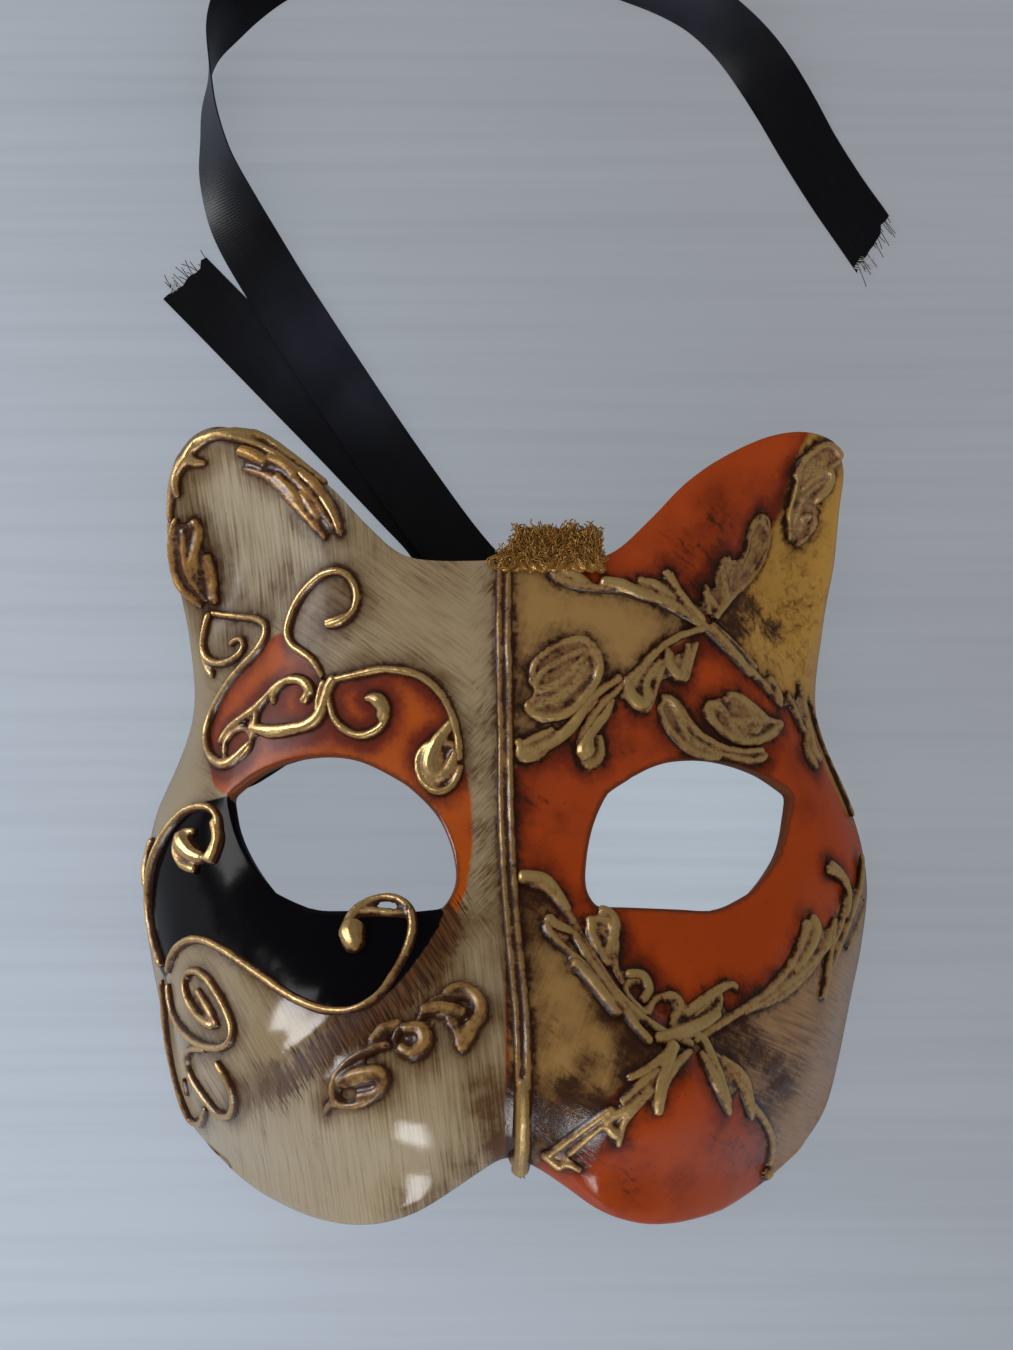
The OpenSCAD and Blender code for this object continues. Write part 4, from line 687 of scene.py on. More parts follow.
def finder(places):
    """A tree that finds the nearest of some numbered places."""
    tree = KDTree(len(places))
    for number, place in places.items():
        tree.insert(place, number)
    tree.balance()
    return tree


def smoothed(levels):
    """Subdivision, the same in the view and in the render."""
    return "SUBSURF", {"levels": levels, "render_levels": levels}


def kneaded(grain, rounds):
    """Modifiers that fuse a piece at a grain in metres and smooth it some rounds over."""
    return (("REMESH", {"mode": "VOXEL", "voxel_size": grain}),
            ("SMOOTH", {"factor": 0.5, "iterations": rounds}))


def applied(piece, *modifiers):
    """Puts modifiers on a piece and makes their result its mesh."""
    for kind, settings in modifiers:
        added = piece.modifiers.new(kind, kind)
        for key, value in settings.items():
            setattr(added, key, value)
    graph = bpy.context.evaluated_depsgraph_get()
    finished = bpy.data.meshes.new_from_object(piece.evaluated_get(graph))
    finished.name = piece.name
    rough = piece.data
    piece.modifiers.clear()
    piece.data = finished
    bpy.data.meshes.remove(rough)
    return piece


def settle(piece, slot, *replaced):
    """Every piece rides on the one body; the slot is not used."""
    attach(piece, BODY)
    if replaced:
        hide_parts(*replaced)
    return piece


def clad(piece, finish, slot, *replaced):
    """Gives a piece its one finish and settles it."""
    piece.data.materials.clear()
    piece.data.materials.append(finish)
    return settle(piece, slot, *replaced)


def drawn_piece(name, line):
    """Turns a curve's drawing into a smooth mesh piece."""
    drawn = placed(name, line)
    graph = bpy.context.evaluated_depsgraph_get()
    mesh = bpy.data.meshes.new_from_object(drawn.evaluated_get(graph))
    bpy.data.objects.remove(drawn)
    mesh.name = name
    mesh.shade_smooth()
    return placed(name, mesh)


def round_line(name, thickness, sides):
    line = bpy.data.curves.new(name, "CURVE")
    line.dimensions = "3D"
    line.bevel_depth = thickness
    line.bevel_resolution = sides
    line.resolution_u = 3
    line.use_fill_caps = True
    return line


def thin_threads(name, strands, radius):
    """Fine round threads along lines of points in metres, as one mesh."""
    line = round_line(name, radius, 0)
    for strand in strands:
        spline = line.splines.new("NURBS" if len(strand) > 3 else "POLY")
        spline.points.add(len(strand) - 1)
        for point, place in zip(spline.points, strand):
            point.co = (*place, 1.0)
        spline.use_endpoint_u = True
        spline.order_u = min(4, len(strand))
    return drawn_piece(name, line)


# ---- the stage ----
TABLE_HALF = 2.5
TABLE_GRAIN = (0.14, 0.15, 0.17)
# Colour and middle of a pool of light painted on the table under the right eye
LIT_TABLE = (0.56, 0.64, 0.72)
LIT_THROUGH_EYE = (38.0, -4.0, 0.0)
BRIGHT_SIDE = (-0.55, -0.83, 0.0)
# Each window's azimuth from +X, elevation, distance, width, height and share of the light
WINDOWS = (("left_window", 165, 21, 1.3, 0.56, 0.52, 1.0),
           ("near_window", -96, 17, 1.3, 0.44, 0.40, 0.9))


def table_finish(settings):
    """Pale painted boards with a faint grain along X, with light painted on: brightest towards the
    windows and in a pool under the right eye, darker away from them.

    Most of what the camera sees of the table is its own plain colour, so shadows on it stay soft.
    """
    table = Finish("pale_table")
    where = table.place()
    grain = table.noise(table.mapped(where, (0.008, 0.30, 1.0)), 1.0, 3.0, 0.5)
    board = table.noise(table.mapped(where, (0.004, 0.03, 1.0)), 1.0, 2.0)
    pores = table.noise(table.mapped(where, (0.06, 1.7, 1.0)), 1.0, 2.0, 0.7)
    x = table.node("SeparateXYZ", {}, {0: where}, out="X")
    y = table.node("SeparateXYZ", {}, {0: where}, out="Y")
    # Painted shade: the table's colour darkens away from the windows
    away = table.step(x * 0.79 + y * 0.48, -170.0, 120.0)
    toned = table.mix(away, settings.table, settings.table_painted_shade)
    # A pool of light painted on the table where light through the right eye falls
    lit = table.node("VectorMath", {"operation": "DISTANCE"}, {0: where, 1: LIT_THROUGH_EYE},
                     out="Value")
    toned = table.mix((1.0 - table.step(lit, 20.0, 36.0)) * 0.9, toned, LIT_TABLE)
    lined = table.mix(table.step(board, 0.35, 0.7) * 0.07 + table.step(grain, 0.36, 0.74) * 0.085
                      + table.step(pores, 0.58, 0.74) * 0.04, toned, TABLE_GRAIN)
    relief = table.bump(grain * -1.0 + pores * -0.5, 0.00006, 0.5)
    boards = table.shader(Base_Color=lined, Roughness=0.58, Normal=relief)
    flat = table.node("Emission", {}, {"Color": lined, "Strength": 1.0})
    seen = table.node("LightPath", out="Is Camera Ray")
    return table.close(table.layered(seen * settings.table_evenness, boards, flat))


def room_light(settings):
    """A dim ceiling over a bright, low surround that is brightest to the left and near sides.

    Gloss mirrors that room; the soft light on matt surfaces comes evenly from all of it.
    """
    room = Finish("room", bpy.data.worlds)
    where = room.node("TexCoord", out="Generated")
    high = room.node("SeparateXYZ", {}, {0: where}, out="Z")
    toward = room.node("VectorMath", {"operation": "DOT_PRODUCT"}, {0: where, 1: BRIGHT_SIDE},
                       out="Value")
    low = 1.0 - room.step(high, settings.low_edge, settings.high_edge)
    share = 0.12 + 0.88 * room.step(toward, -0.8, 0.9)
    mirrored = settings.ceiling + settings.room * low * share
    soft = settings.fill + 0.3 * toward
    glossy = room.node("LightPath", out="Is Glossy Ray")
    strength = room.between(glossy, soft, mirrored)
    sky = room.node("Background", {}, {"Color": (0.95, 0.975, 1.0), "Strength": strength})
    return room.close(sky, "OutputWorld")


class MASK_OT_stage(bpy.types.Operator):
    """Camera, pale table, two windows and the soft light of a room"""

    bl_idname = "mask.stage"
    bl_label = "Stage"

    def execute(self, context):
        settings = context.scene.mask_stage
        scene = context.scene
        scene.view_settings.view_transform = "Standard"
        lens = bpy.data.cameras.new("camera")
        lens.sensor_fit = "VERTICAL"
        lens.sensor_height = 24.0
        lens.lens = lens.sensor_height / 2 / math.tan(settings.view_angle / 2)
        lens.clip_start = 0.01
        camera = placed("camera", lens)
        lean = settings.elevation
        camera.location = Vector(settings.target) + settings.distance * Vector(
            (0.0, -math.cos(lean), math.sin(lean)))
        camera.rotation_euler = (math.pi / 2 - lean, 0.0, 0.0)
        scene.camera = camera

        form = bmesh.new()
        bmesh.ops.create_grid(form, x_segments=2, y_segments=2, size=TABLE_HALF)
        table = piece_from(form, "table")
        table.data.materials.append(table_finish(settings))

        for name, turn, height, away, wide, tall, share in WINDOWS:
            a, e = math.radians(turn), math.radians(height)
            way = Vector((math.cos(a) * math.cos(e), math.sin(a) * math.cos(e), math.sin(e)))
            # The pane that gloss mirrors is brighter than the light it gives matt surfaces
            for part, power in (("_pane", settings.window), ("_glow", settings.window_glow)):
                lamp = bpy.data.lights.new(name + part, "AREA")
                lamp.shape = "RECTANGLE"
                lamp.size, lamp.size_y = wide, tall
                lamp.energy = power * share * math.pi * wide * tall
                lamp.color = (0.97, 0.985, 1.0)
                holder = placed(name + part, lamp)
                holder.location = way * away + Vector((0.0, 0.0, 0.04))
                holder.rotation_euler = way.to_track_quat("Z", "Y").to_euler()
                holder.visible_diffuse = part == "_glow"
                holder.visible_glossy = part == "_pane"
        scene.world = room_light(settings)
        return {"FINISHED"}


# ---- ribbons ----
def curve_point(a, b, c, d, t):
    """Catmull-Rom curve from b to c."""
    return 0.5 * (2 * b + (c - a) * t + (2 * a - 5 * b + 4 * c - d) * t * t
                  + (3 * b - a - 3 * c + d) * t ** 3)


def ribbon_rings(route, step):
    """Points of a route a step apart, with their lean."""
    p = [np.array(q, float) for q in route]
    rings = []
    for i in range(len(p) - 1):
        count = max(1, round(float(np.linalg.norm((p[i + 1] - p[i])[:3])) / step))
        for k in range(count):
            rings.append(curve_point(p[max(i - 1, 0)], p[i], p[i + 1], p[min(i + 2, len(p) - 1)],
                                     k / count))
    rings.append(p[-1])
    return np.array(rings)


def ribbon_frames(rings):
    """Middle, width direction and face direction of each ring."""
    place = rings[:, :3]
    ahead = np.gradient(place, axis=0)
    ahead /= np.linalg.norm(ahead, axis=1)[:, None]
    level = np.cross(ahead, (0.0, 0.0, 1.0))
    level /= np.linalg.norm(level, axis=1)[:, None]
    above = np.cross(level, ahead)
    lean = np.radians(rings[:, 3])[:, None]
    wide = level * np.cos(lean) + above * np.sin(lean)
    face = above * np.cos(lean) - level * np.sin(lean)
    return place, wide, face


def satin_finish(settings):
    """Black satin: fine weft ribs under a long soft sheen, and a sheen painted into its colour
    where it bends.
    """
    satin = Finish("black_satin")
    where = satin.node("UVMap", {"uv_map": "weave"})
    weft = satin.node(
        "TexWave", {"wave_type": "BANDS", "bands_direction": "X", "wave_profile": "SIN"},
        {"Vector": where, "Scale": 520.0, "Distortion": 1.2, "Detail": 2.0, "Detail Scale": 1.5})
    warp = satin.noise(satin.mapped(where, (90.0, 5200.0, 1.0)), 1.0, 2.0, 0.5)
    cloud = satin.noise(where, 130.0, 3.0, 0.6)
    shade = satin.mix(satin.step(warp, 0.35, 0.7), settings.satin,
                      scaled_colour(settings.satin, 1.5))
    # Painted sheen: a bluish colour where the ribbon bends to the light
    painted_sheen = satin.own("sheen") * (0.55 + 0.9 * cloud)
    shade = satin.mix(painted_sheen, shade, PAINTED_SATIN_SHEEN)
    gloss = 0.30 + 0.14 * cloud + 0.08 * warp
    return satin.surface(Base_Color=shade, Roughness=gloss,
                         Normal=satin.bump(weft * 0.5 + warp * 0.5, 0.00005, 0.5),
                         Specular_IOR_Level=0.22, Sheen_Weight=0.03, Sheen_Roughness=0.4,
                         Sheen_Tint=(0.55, 0.6, 0.85, 1.0))


def thread_finish(name, shade):
    """Loose fibres of one colour, paler and darker along their length."""
    thread = Finish(name)
    cloud = thread.noise(thread.place(), 1.3, 2.0)
    toned = thread.mix(cloud, scaled_colour(shade, 0.45), tuple(min(1.0, c * 1.3) for c in shade))
    return thread.surface(Base_Color=toned, Roughness=0.62, Sheen_Weight=0.3)


class MASK_OT_ribbons(bpy.types.Operator):
    """The two satin ties, along the CAD routes, with frayed ends"""

    bl_idname = "mask.ribbons"
    bl_label = "Satin ties"

    def execute(self, context):
        settings = context.scene.mask_ribbons
        satin = satin_finish(settings)
        pale = thread_finish("pale_weft", settings.pale_thread)
        dark = thread_finish("dark_warp", scaled_colour(settings.satin, 3))
        # The length is in metres, and the cut is the slant of the end
        for name, route, node, seed, length, cut in (
                ("left_satin_tie", LEFT_TIE, "left_ribbon", 5, 0.175, 0.05),
                ("right_satin_tie", RIGHT_TIE, "right_ribbon", 9, 0.410, -0.5)):
            rings = ribbon_rings(route, settings.step / MM)
            place, wide, face = ribbon_frames(rings)
            # A thin ribbon lies lower than its thicker solid where it is flat
            flat = np.abs(face[:, 2]) ** 4
            place[:, 2] -= 0.2 * flat
            tie = self.strip(name, place, wide, face, settings, seed, cut)
            clad(tie, satin, "satin_ribbon", node)
            frays = self.frayed_end(name, place, wide, settings, seed, cut, (dark, pale))
        return {"FINISHED"}

    def strip(self, name, place, wide, face, settings, seed, cut):
        """A woven strip laid out as a grid, set along its route and given its thickness."""
        across = 10
        form = bmesh.new()
        weave = form.loops.layers.uv.new("weave")
        bmesh.ops.create_grid(form, x_segments=len(place) - 1, y_segments=across, size=0.5)
        run = np.concatenate([[0.0], np.cumsum(np.linalg.norm(np.diff(place, axis=0), axis=1))])
        rng = np.random.default_rng(seed)
        ragged = rng.uniform(-0.3, 0.9, across + 1)
        spots = {}
        for v in form.verts:
            i = round((v.co.x + 0.5) * (len(place) - 1))
            u = v.co.y * 2
            spots[v] = (run[i], u)
            wave = 0.10 * math.sin(run[i] / 5.3 + seed) * u + 0.07 * math.sin(run[i] / 2.1) * u * u
            bow = 0.16 * (u * u - 0.4)
            spot = place[i] + wide[i] * u * settings.width / MM / 2 + face[i] * (wave + bow)
            end = rise(run[i], run[-1] - 9.0, run[-1])
            ahead = place[-1] - place[-2]
            slant = cut * u * settings.width / MM / 2
            spot = spot + ahead / np.linalg.norm(ahead) * (
                slant * end + (i == len(place) - 1) * ragged[round((v.co.y + 0.5) * across)])
            spot[2] = max(spot[2], settings.thickness / MM / 2 + 0.02)
            v.co = Vector(spot) * MM
        for f in form.faces:
            for loop in f.loops:
                s, u = spots[loop.vert]
                loop[weave].uv = (s * MM, u * settings.width / 2)
        made = piece_from(form, name)
        applied(made, ("SOLIDIFY", {"thickness": settings.thickness, "offset": 0.0,
                                    "use_even_offset": False}))
        made.data.set_sharp_from_angle(angle=0.8)
        points = points_of(made.data)
        # Where the sheen is painted on the satin
        sheen = np.zeros(len(points))
        for x, y, reach in PAINTED_SHEEN_SPOTS:
            away = (points[:, 0] - x) ** 2 + (points[:, 1] - y) ** 2
            sheen = np.maximum(sheen, np.exp(-away / reach ** 2))
        carry(made.data, "sheen", sheen)
        return made

    def frayed_end(self, name, place, wide, settings, seed, cut, finishes):
        """Loose threads past the cut end: dark warp and a few pale weft threads."""
        rng = np.random.default_rng(seed + 100)
        ahead = place[-1] - place[-3]
        ahead /= np.linalg.norm(ahead)
        half = settings.width / MM / 2
        pieces = []
        # How many threads of each kind, how far they reach and their radius in millimetres
        for label, finish, count, reach, radius in (
                ("warp", finishes[0], 20, 4.4, 0.09), ("weft", finishes[1], 7, 4.6, 0.13)):
            strands = []
            for _ in range(count):
                u = rng.uniform(-1, 1) if label == "warp" else rng.uniform(-1.0, -0.55)
                start = place[-1] + wide[-1] * u * half + ahead * (cut * u * half - 0.5)
                way = ahead if label == "warp" else 0.55 * ahead + 0.8 * wide[-1]
                length = reach * rng.uniform(0.2, 1.0) ** 1.5 + 0.6
                sway = rng.normal(0, 0.3, 3)
                sway[2] = abs(sway[2]) * 0.35
                strand = [start, start + way * length * 0.4 + sway * 0.4,
                          start + way * length * 0.75 + sway * length * 0.3,
                          start + way * length + sway * length * 0.5]
                strands.append([(q[0] * MM, q[1] * MM, max(q[2], radius + 0.03) * MM)
                                for q in strand])
            made = thin_threads(f"{name}_{label}_fray", strands, radius * MM)
            pieces.append(clad(made, finish, "satin_ribbon"))
        return pieces


# ---- the papier-mache shell ----
OUTER, INNER, RIM = 0, 1, 2
SKIN_EDGE = math.radians(52)
LARGEST_RIM = 0.0008
RIM_CREASE = 0.7
# How far from a rim or from the relief the paint still feels it, in millimetres
FEELS_AS_FAR_AS = 10.0


def shell_skins(form):
    """Marks each face outer, inner or rim, from the sharp edges between them."""
    unseen = set(form.faces)
    while unseen:
        patch, queue = [], [unseen.pop()]
        while queue:
            f = queue.pop()
            patch.append(f)
            for edge in f.edges:
                if edge.is_manifold and edge.calc_face_angle() < SKIN_EDGE:
                    for other in edge.link_faces:
                        if other in unseen:
                            unseen.discard(other)
                            queue.append(other)
        area = sum(f.calc_area() for f in patch)
        facing = 0.0
        for f in patch:
            c = f.calc_center_median()
            out = Vector((c.x * 0.4, c.y * 0.4, c.z + 0.03)).normalized()
            facing += f.normal.dot(out) * f.calc_area()
        kind = RIM if area < LARGEST_RIM else OUTER if facing > 0 else INNER
        for f in patch:
            f.material_index = kind


def shell_form(settings):
    """The shell, subdivided and unevened, with its skins marked by material."""
    form = welded("shell")
    shell_skins(form)
    crease = form.edges.layers.float.new("crease_edge")
    for edge in form.edges:
        if len({f.material_index for f in edge.link_faces}) > 1:
            edge[crease] = RIM_CREASE
    made = piece_from(form, "papier_mache_shell")
    applied(made, smoothed(2))
    points = points_of(made.data)
    depth = settings.undulation / MM
    lift = depth * ripple(points, 26.0, 3, 2) + 0.10 * depth * ripple(points, 5.0, 8, 2)
    normals = normals_of(made.data)
    kinds = read(made.data.polygons, "material_index", kind=np.int32)
    # Wrinkled dark patch below the right cheek arm
    patch = np.exp(-((points[:, 0] - 46) ** 2 + (points[:, 1] + 48) ** 2) / 36.0)
    lift += 0.45 * patch * ripple(points, 3.4, 21, 2)
    points = points + normals * lift[:, None]
    points[:, 2] = np.maximum(points[:, 2], SHELL_CLEAR)
    put_points(made.data, points)
    return made, kinds


def outer_skin(mesh, kinds):
    """The outer faces, with a tree for finding the nearest place on them."""
    faces = [tuple(p.vertices) for p, kind in zip(mesh.polygons, kinds) if kind == OUTER]
    return BVHTree.FromPolygons([v.co for v in mesh.vertices], faces), faces


def shell_marks(mesh, kinds):
    """Stores the painted areas on the shell's points."""
    points = points_of(mesh)
    for name, outline in (("amber_brow", AMBER_BROW), ("black_cheek", BLACK_CHEEK),
                          ("ochre_brow", OCHRE_BROW), ("gold_ear", GOLD_EAR),
                          ("ochre_nose", OCHRE_NOSE), ("grey_cheek", GREY_CHEEK)):
        carry(mesh, name, np.clip(depth_inside(points, outline), -20, 20))
    carry(mesh, "fold", from_line(points, LEFT_FOLD))
    # Stains, with painted shade in the right ear's crease and hollow
    stain = np.zeros(len(points))
    for x, y, radius, amount in GLAZE_STAINS_AND_SHADE:
        reach = radius * (1.3 if x < 0 else 1.0)
        away = ((points[:, 0] - x) ** 2 + (points[:, 1] - y) ** 2) / reach ** 2
        stain = np.maximum(stain, amount * np.exp(-away * 1.2))
    carry(mesh, "stain", stain)
    rims = set()
    for p, kind in zip(mesh.polygons, kinds):
        if kind == RIM:
            rims.update(p.vertices)
    tree = finder({i: mesh.vertices[i].co for i in rims})
    carry(mesh, "rim", [min(tree.find(v.co)[2] / MM, FEELS_AS_FAR_AS) for v in mesh.vertices])


# Glazes, shades and specks laid over the paint of the settings
BROWN_WASH = (0.080, 0.030, 0.007)
CREAM_SPECK = (0.07, 0.035, 0.014)
ORANGE_SPECK = (0.03, 0.006, 0.002)
AMBER_SHADE = (0.13, 0.014, 0.004)
AMBER_SPECK = (0.05, 0.008, 0.003)
OCHRE_SHADE = (0.070, 0.027, 0.008)
OCHRE_GRIT = (0.36, 0.24, 0.10)
EAR_GOLD_SHADE = (0.11, 0.038, 0.009)
CHEEK_SHADE = (0.085, 0.045, 0.026)
UMBER_AND_SHADE = (0.034, 0.011, 0.004)
FOLD_DARK = (0.030, 0.008, 0.002)
FOLD_BROWN = (0.120, 0.044, 0.010)
EDGE_LINE = (0.04, 0.013, 0.006)
BARE_EDGE = (0.18, 0.10, 0.05)
BLACK_SPECK = (0.02, 0.02, 0.024)


def paint_finish(settings):
    """The painted areas of the face under their brown glaze and varnish."""
    paint = Finish("painted_papier_mache")
    where = paint.place()
    split = paint.node("SeparateXYZ", {}, {0: where}, out="X")
    high = paint.node("SeparateXYZ", {}, {0: where}, out="Y")
    ragged = paint.noise(where, 0.9, 3.0, 0.6) - 0.5
    cloud = paint.noise(where, 0.085, 3.0, 0.55)
    mottle = paint.noise(where, 0.33, 4.0, 0.6)
    grit = paint.noise(where, 2.6, 3.0, 0.65)
    specks = paint.step(paint.noise(where, 1.35, 1.0, 0.5), 0.72, 0.78)
    stain = paint.own("stain")
    near = paint.own("relief_gap")
    rim = paint.own("rim")

    # Brush marks: upright in the ear, slanted on the forehead and beside the rib, down the muzzle
    ear_marks = paint.streaks(97, 0.42, 13, 1)
    brow_marks = paint.streaks(-38, 0.45, 8, 2)
    rib_marks = paint.streaks(48, 0.40, 3.5, 3)
    cheek_marks = paint.streaks(-58, 0.42, 9, 4)
    muzzle_marks = paint.streaks(-84, 0.45, 14, 5)
    ear_area = paint.step(high - split * 0.55, 56.0, 66.0)
    lower = 1.0 - paint.step(high, -24.0, -16.0)
    beyond_fold = 1.0 - paint.step(high - split * 0.62, -26.0, -20.0)
    by_rib = paint.step(split, -8.0, -5.0)
    marks = paint.between(ear_area, brow_marks, ear_marks)
    marks = paint.between(lower, marks, cheek_marks)
    marks = paint.between(beyond_fold * lower, marks, muzzle_marks)
    marks = paint.between(by_rib * (1.0 - lower), marks, rib_marks)

    # Nearness to the relief: the paint darkens near it, partly as painted shade
    close = 1.0 - paint.step(near + ragged * 0.9, 0.1, 1.5)
    halo = 1.0 - paint.step(near + ragged * 2.2, 0.4, 4.2)
    clean_rib = 1.0 - 0.5 * by_rib * paint.step(high, -22.0, -8.0)
    worn = (stain + 0.40 * close + 0.25 * halo) * clean_rib
    glaze = paint.step(marks + 0.60 * worn + 0.22 * (cloud - 0.5) + 0.12 * (mottle - 0.5),
                       0.42, 0.96)
    # Paler cream with less glaze towards the left temple
    pale_temple = (1.0 - paint.step(split, -64.0, -55.0)) * (1.0 - paint.step(high, 30.0, 40.0))
    glaze = glaze * (1.0 - 0.85 * pale_temple)
    # Palest in the middle of the ear and low on the muzzle; low on the muzzle the paler cream is
    # partly a painted sheen
    x_off, y_off = split + 46.0, high - 53.0
    ear_middle = 1.0 - paint.step(x_off * x_off + y_off * y_off * 0.8, 60.0, 420.0)
    muzzle_low_sheen = 1.0 - paint.step(high + split * 0.2, -66.0, -48.0)
    pale = paint.node("Math", {"operation": "MAXIMUM"}, {0: ear_middle, 1: muzzle_low_sheen * 0.45})
    pale = pale + 0.35 * (cloud - 0.5) + 0.3 * pale_temple
    cream = paint.mix(paint.step(pale, -0.1, 0.9), settings.cream_dull, settings.cream)
    cream = paint.mix(glaze * 0.70, cream, settings.cream_glaze)
    brown_wash = paint.step(stain + 1.7 * (marks - 0.5) + 1.1 * (mottle - 0.5) + 0.25 * close,
                            0.38, 1.05)
    cream = paint.mix(brown_wash * (1.0 - pale_temple) * 0.92, cream, BROWN_WASH)
    cream = paint.mix(specks * 0.30, cream, CREAM_SPECK)

    shade = paint.step(0.5 * cloud + 0.35 * mottle + 0.55 * stain + 0.25 * halo, 0.42, 1.0)
    orange = paint.mix(shade, settings.orange, settings.orange_deep)
    orange = paint.mix(specks * 0.5, orange, ORANGE_SPECK)
    amber = paint.mix(paint.step(0.4 * cloud + 0.3 * mottle + 0.4 * halo + 0.5 * stain, 0.42, 1.0),
                      settings.amber, AMBER_SHADE)
    amber = paint.mix(specks * 0.25, amber, AMBER_SPECK)
    brushed = paint.streaks(70, 0.6, 9, 6)
    ochre = paint.mix(
        paint.step(0.5 * mottle + 0.6 * stain + 0.3 * brushed + 0.15 * halo, 0.42, 1.0),
        settings.ochre, OCHRE_SHADE)
    ochre = paint.mix(paint.step(grit, 0.5, 0.8) * 0.15, ochre, OCHRE_GRIT)
    foil = paint.noise(where, 0.62, 5.0, 0.68, 0.6)
    leaf = paint.mix(paint.step(foil + 0.45 * stain, 0.54, 1.0), settings.ear_gold,
                     EAR_GOLD_SHADE)
    fine = paint.streaks(-20, 0.5, 10, 7)
    cheek = paint.mix(paint.step(fine + 0.2 * mottle + 0.5 * stain, 0.50, 1.1), settings.cheek,
                      CHEEK_SHADE)

    right = paint.step(split, -0.3, 0.3)
    skin = paint.mix(right, cream, orange)

    def area(name, soft=0.35):
        return paint.step(paint.own(name) + ragged * 0.8, -soft, soft)

    on_black = area("black_cheek", 0.2)
    on_gold = area("gold_ear", 0.7)
    skin = paint.mix(area("amber_brow"), skin, amber)
    skin = paint.mix(area("ochre_brow"), skin, ochre)
    skin = paint.mix(area("ochre_nose"), skin, ochre)
    skin = paint.mix(area("grey_cheek"), skin, cheek)
    skin = paint.mix(on_gold, skin, leaf)

    # Dark umber in the hollows of the right side: umber paint, with painted shade in the ear's
    # crease and hollow
    crease = paint.streaks(-38, 1.1, 7, 8)
    umber_and_shade = paint.step(stain + 1.3 * (crease - 0.5) + 1.3 * (foil - 0.5) + 0.15 * close,
                        0.45, 0.97)
    skin = paint.mix(umber_and_shade * right * 0.88, skin, UMBER_AND_SHADE)

    # Brown paint brushed along the fold under the left eye
    band = 1.0 - paint.step(paint.own("fold") + (cheek_marks - 0.5) * 15.0 + ragged * 4.0, 1.6, 4.2)
    band = band * (1.0 - right) * paint.step(split, -52.0, -36.0)
    band_tone = paint.mix(paint.step(cheek_marks, 0.38, 0.66), FOLD_DARK, FOLD_BROWN)
    skin = paint.mix(band * 0.92, skin, band_tone)

    # Darker in the corners beside the relief and in a band about it: painted shade, with dark glaze
    corner_shade_and_glaze = 1.0 - paint.step(near + ragged * (0.7 + 1.2 * right), 0.05, 0.75 + 0.6 * right)
    held = 0.35 + 0.65 * paint.step(mottle + 0.3 * stain, 0.42, 0.64)
    skin = paint.mix(corner_shade_and_glaze * 0.88 * held + halo * (0.10 + 0.12 * right) * held,
                     skin, settings.umber)
    # Paint rubbed off the edges, with a brown line inside it
    edge = 1.0 - paint.step(rim + ragged * 0.9, 0.05, 0.45)
    line = 1.0 - paint.step(rim + ragged * 1.2, 0.3, 1.3)
    skin = paint.mix(line * 0.62, skin, EDGE_LINE)
    skin = paint.mix(edge * 0.25, skin, BARE_EDGE)

    metal = on_gold * 0.35 * (1.0 - umber_and_shade)
    height = (marks * 0.22 * (1.0 - right) + grit * 0.15 + mottle * 0.35
              + foil * 1.4 * on_gold + crease * 0.5 * umber_and_shade * right + brushed * 0.12 * right)
    relief = paint.bump(height, 0.00020, 0.42)
    # The lower face keeps its varnish; above the eyes it is rubbed to satin
    varnish = 1.0 - paint.step(high + 0.12 * split, -16.0, 2.0)
    glossy = paint.shader(Base_Color=skin, Metallic=metal, Specular_IOR_Level=0.32, Normal=relief,
                          Roughness=0.07 + 0.05 * mottle + 0.12 * umber_and_shade)
    rubbed = paint.shader(Base_Color=skin, Metallic=metal, Specular_IOR_Level=0.13, Normal=relief,
                          Roughness=0.27 + 0.12 * mottle)
    lacquer = paint.shader(Base_Color=paint.mix(specks * 0.2, settings.black, BLACK_SPECK),
                           Roughness=0.10 + 0.06 * mottle, Specular_IOR_Level=0.05,
                           Normal=paint.bump(mottle + grit * 0.3, 0.0002, 0.12))
    return paint.close(paint.layered(on_black, paint.layered(varnish, rubbed, glossy), lacquer))


def bare_paper_finish(settings):
    """The inside: torn strips of glued paper, stained where the glue pooled."""
    inside = Finish("layered_paper")
    where = inside.place()
    laid = {"Vector": inside.mapped(where, (0.055, 0.11, 0.08), (0.2, 0.1, 0.5)),
            "Scale": 1.0, "Randomness": 0.9}
    strips = inside.node("TexVoronoi", {"feature": "F1", "distance": "MANHATTAN"}, laid,
                         out="Color")
    strip = inside.node("SeparateColor", {}, {0: strips}, out=0)
    torn = inside.node("TexVoronoi", {"feature": "DISTANCE_TO_EDGE"}, laid, out="Distance")
    fibres = inside.noise(where, 1.8, 5.0, 0.7)
    pulp = inside.noise(where, 0.25, 4.0, 0.6)
    glue = inside.step(inside.noise(where, 0.06, 3.0, 0.6), 0.48, 0.66)
    paper = inside.mix(strip, scaled_colour(settings.paper, 0.78),
                       scaled_colour(settings.paper, 1.12))
    paper = inside.mix(inside.step(fibres, 0.45, 0.75) * 0.35, paper, (0.44, 0.37, 0.27))
    paper = inside.mix(glue * 0.5, paper, (0.17, 0.105, 0.055))
    paper = inside.mix((1.0 - inside.step(torn, 0.0, 0.06)) * 0.45, paper, (0.16, 0.10, 0.06))
    height = strip * 0.6 + inside.step(torn, 0.0, 0.10) * 0.4 + fibres * 0.35 + pulp * 0.8
    return inside.surface(Base_Color=paper, Roughness=0.62 - 0.25 * glue,
                          Normal=inside.bump(height, 0.00035, 0.6))


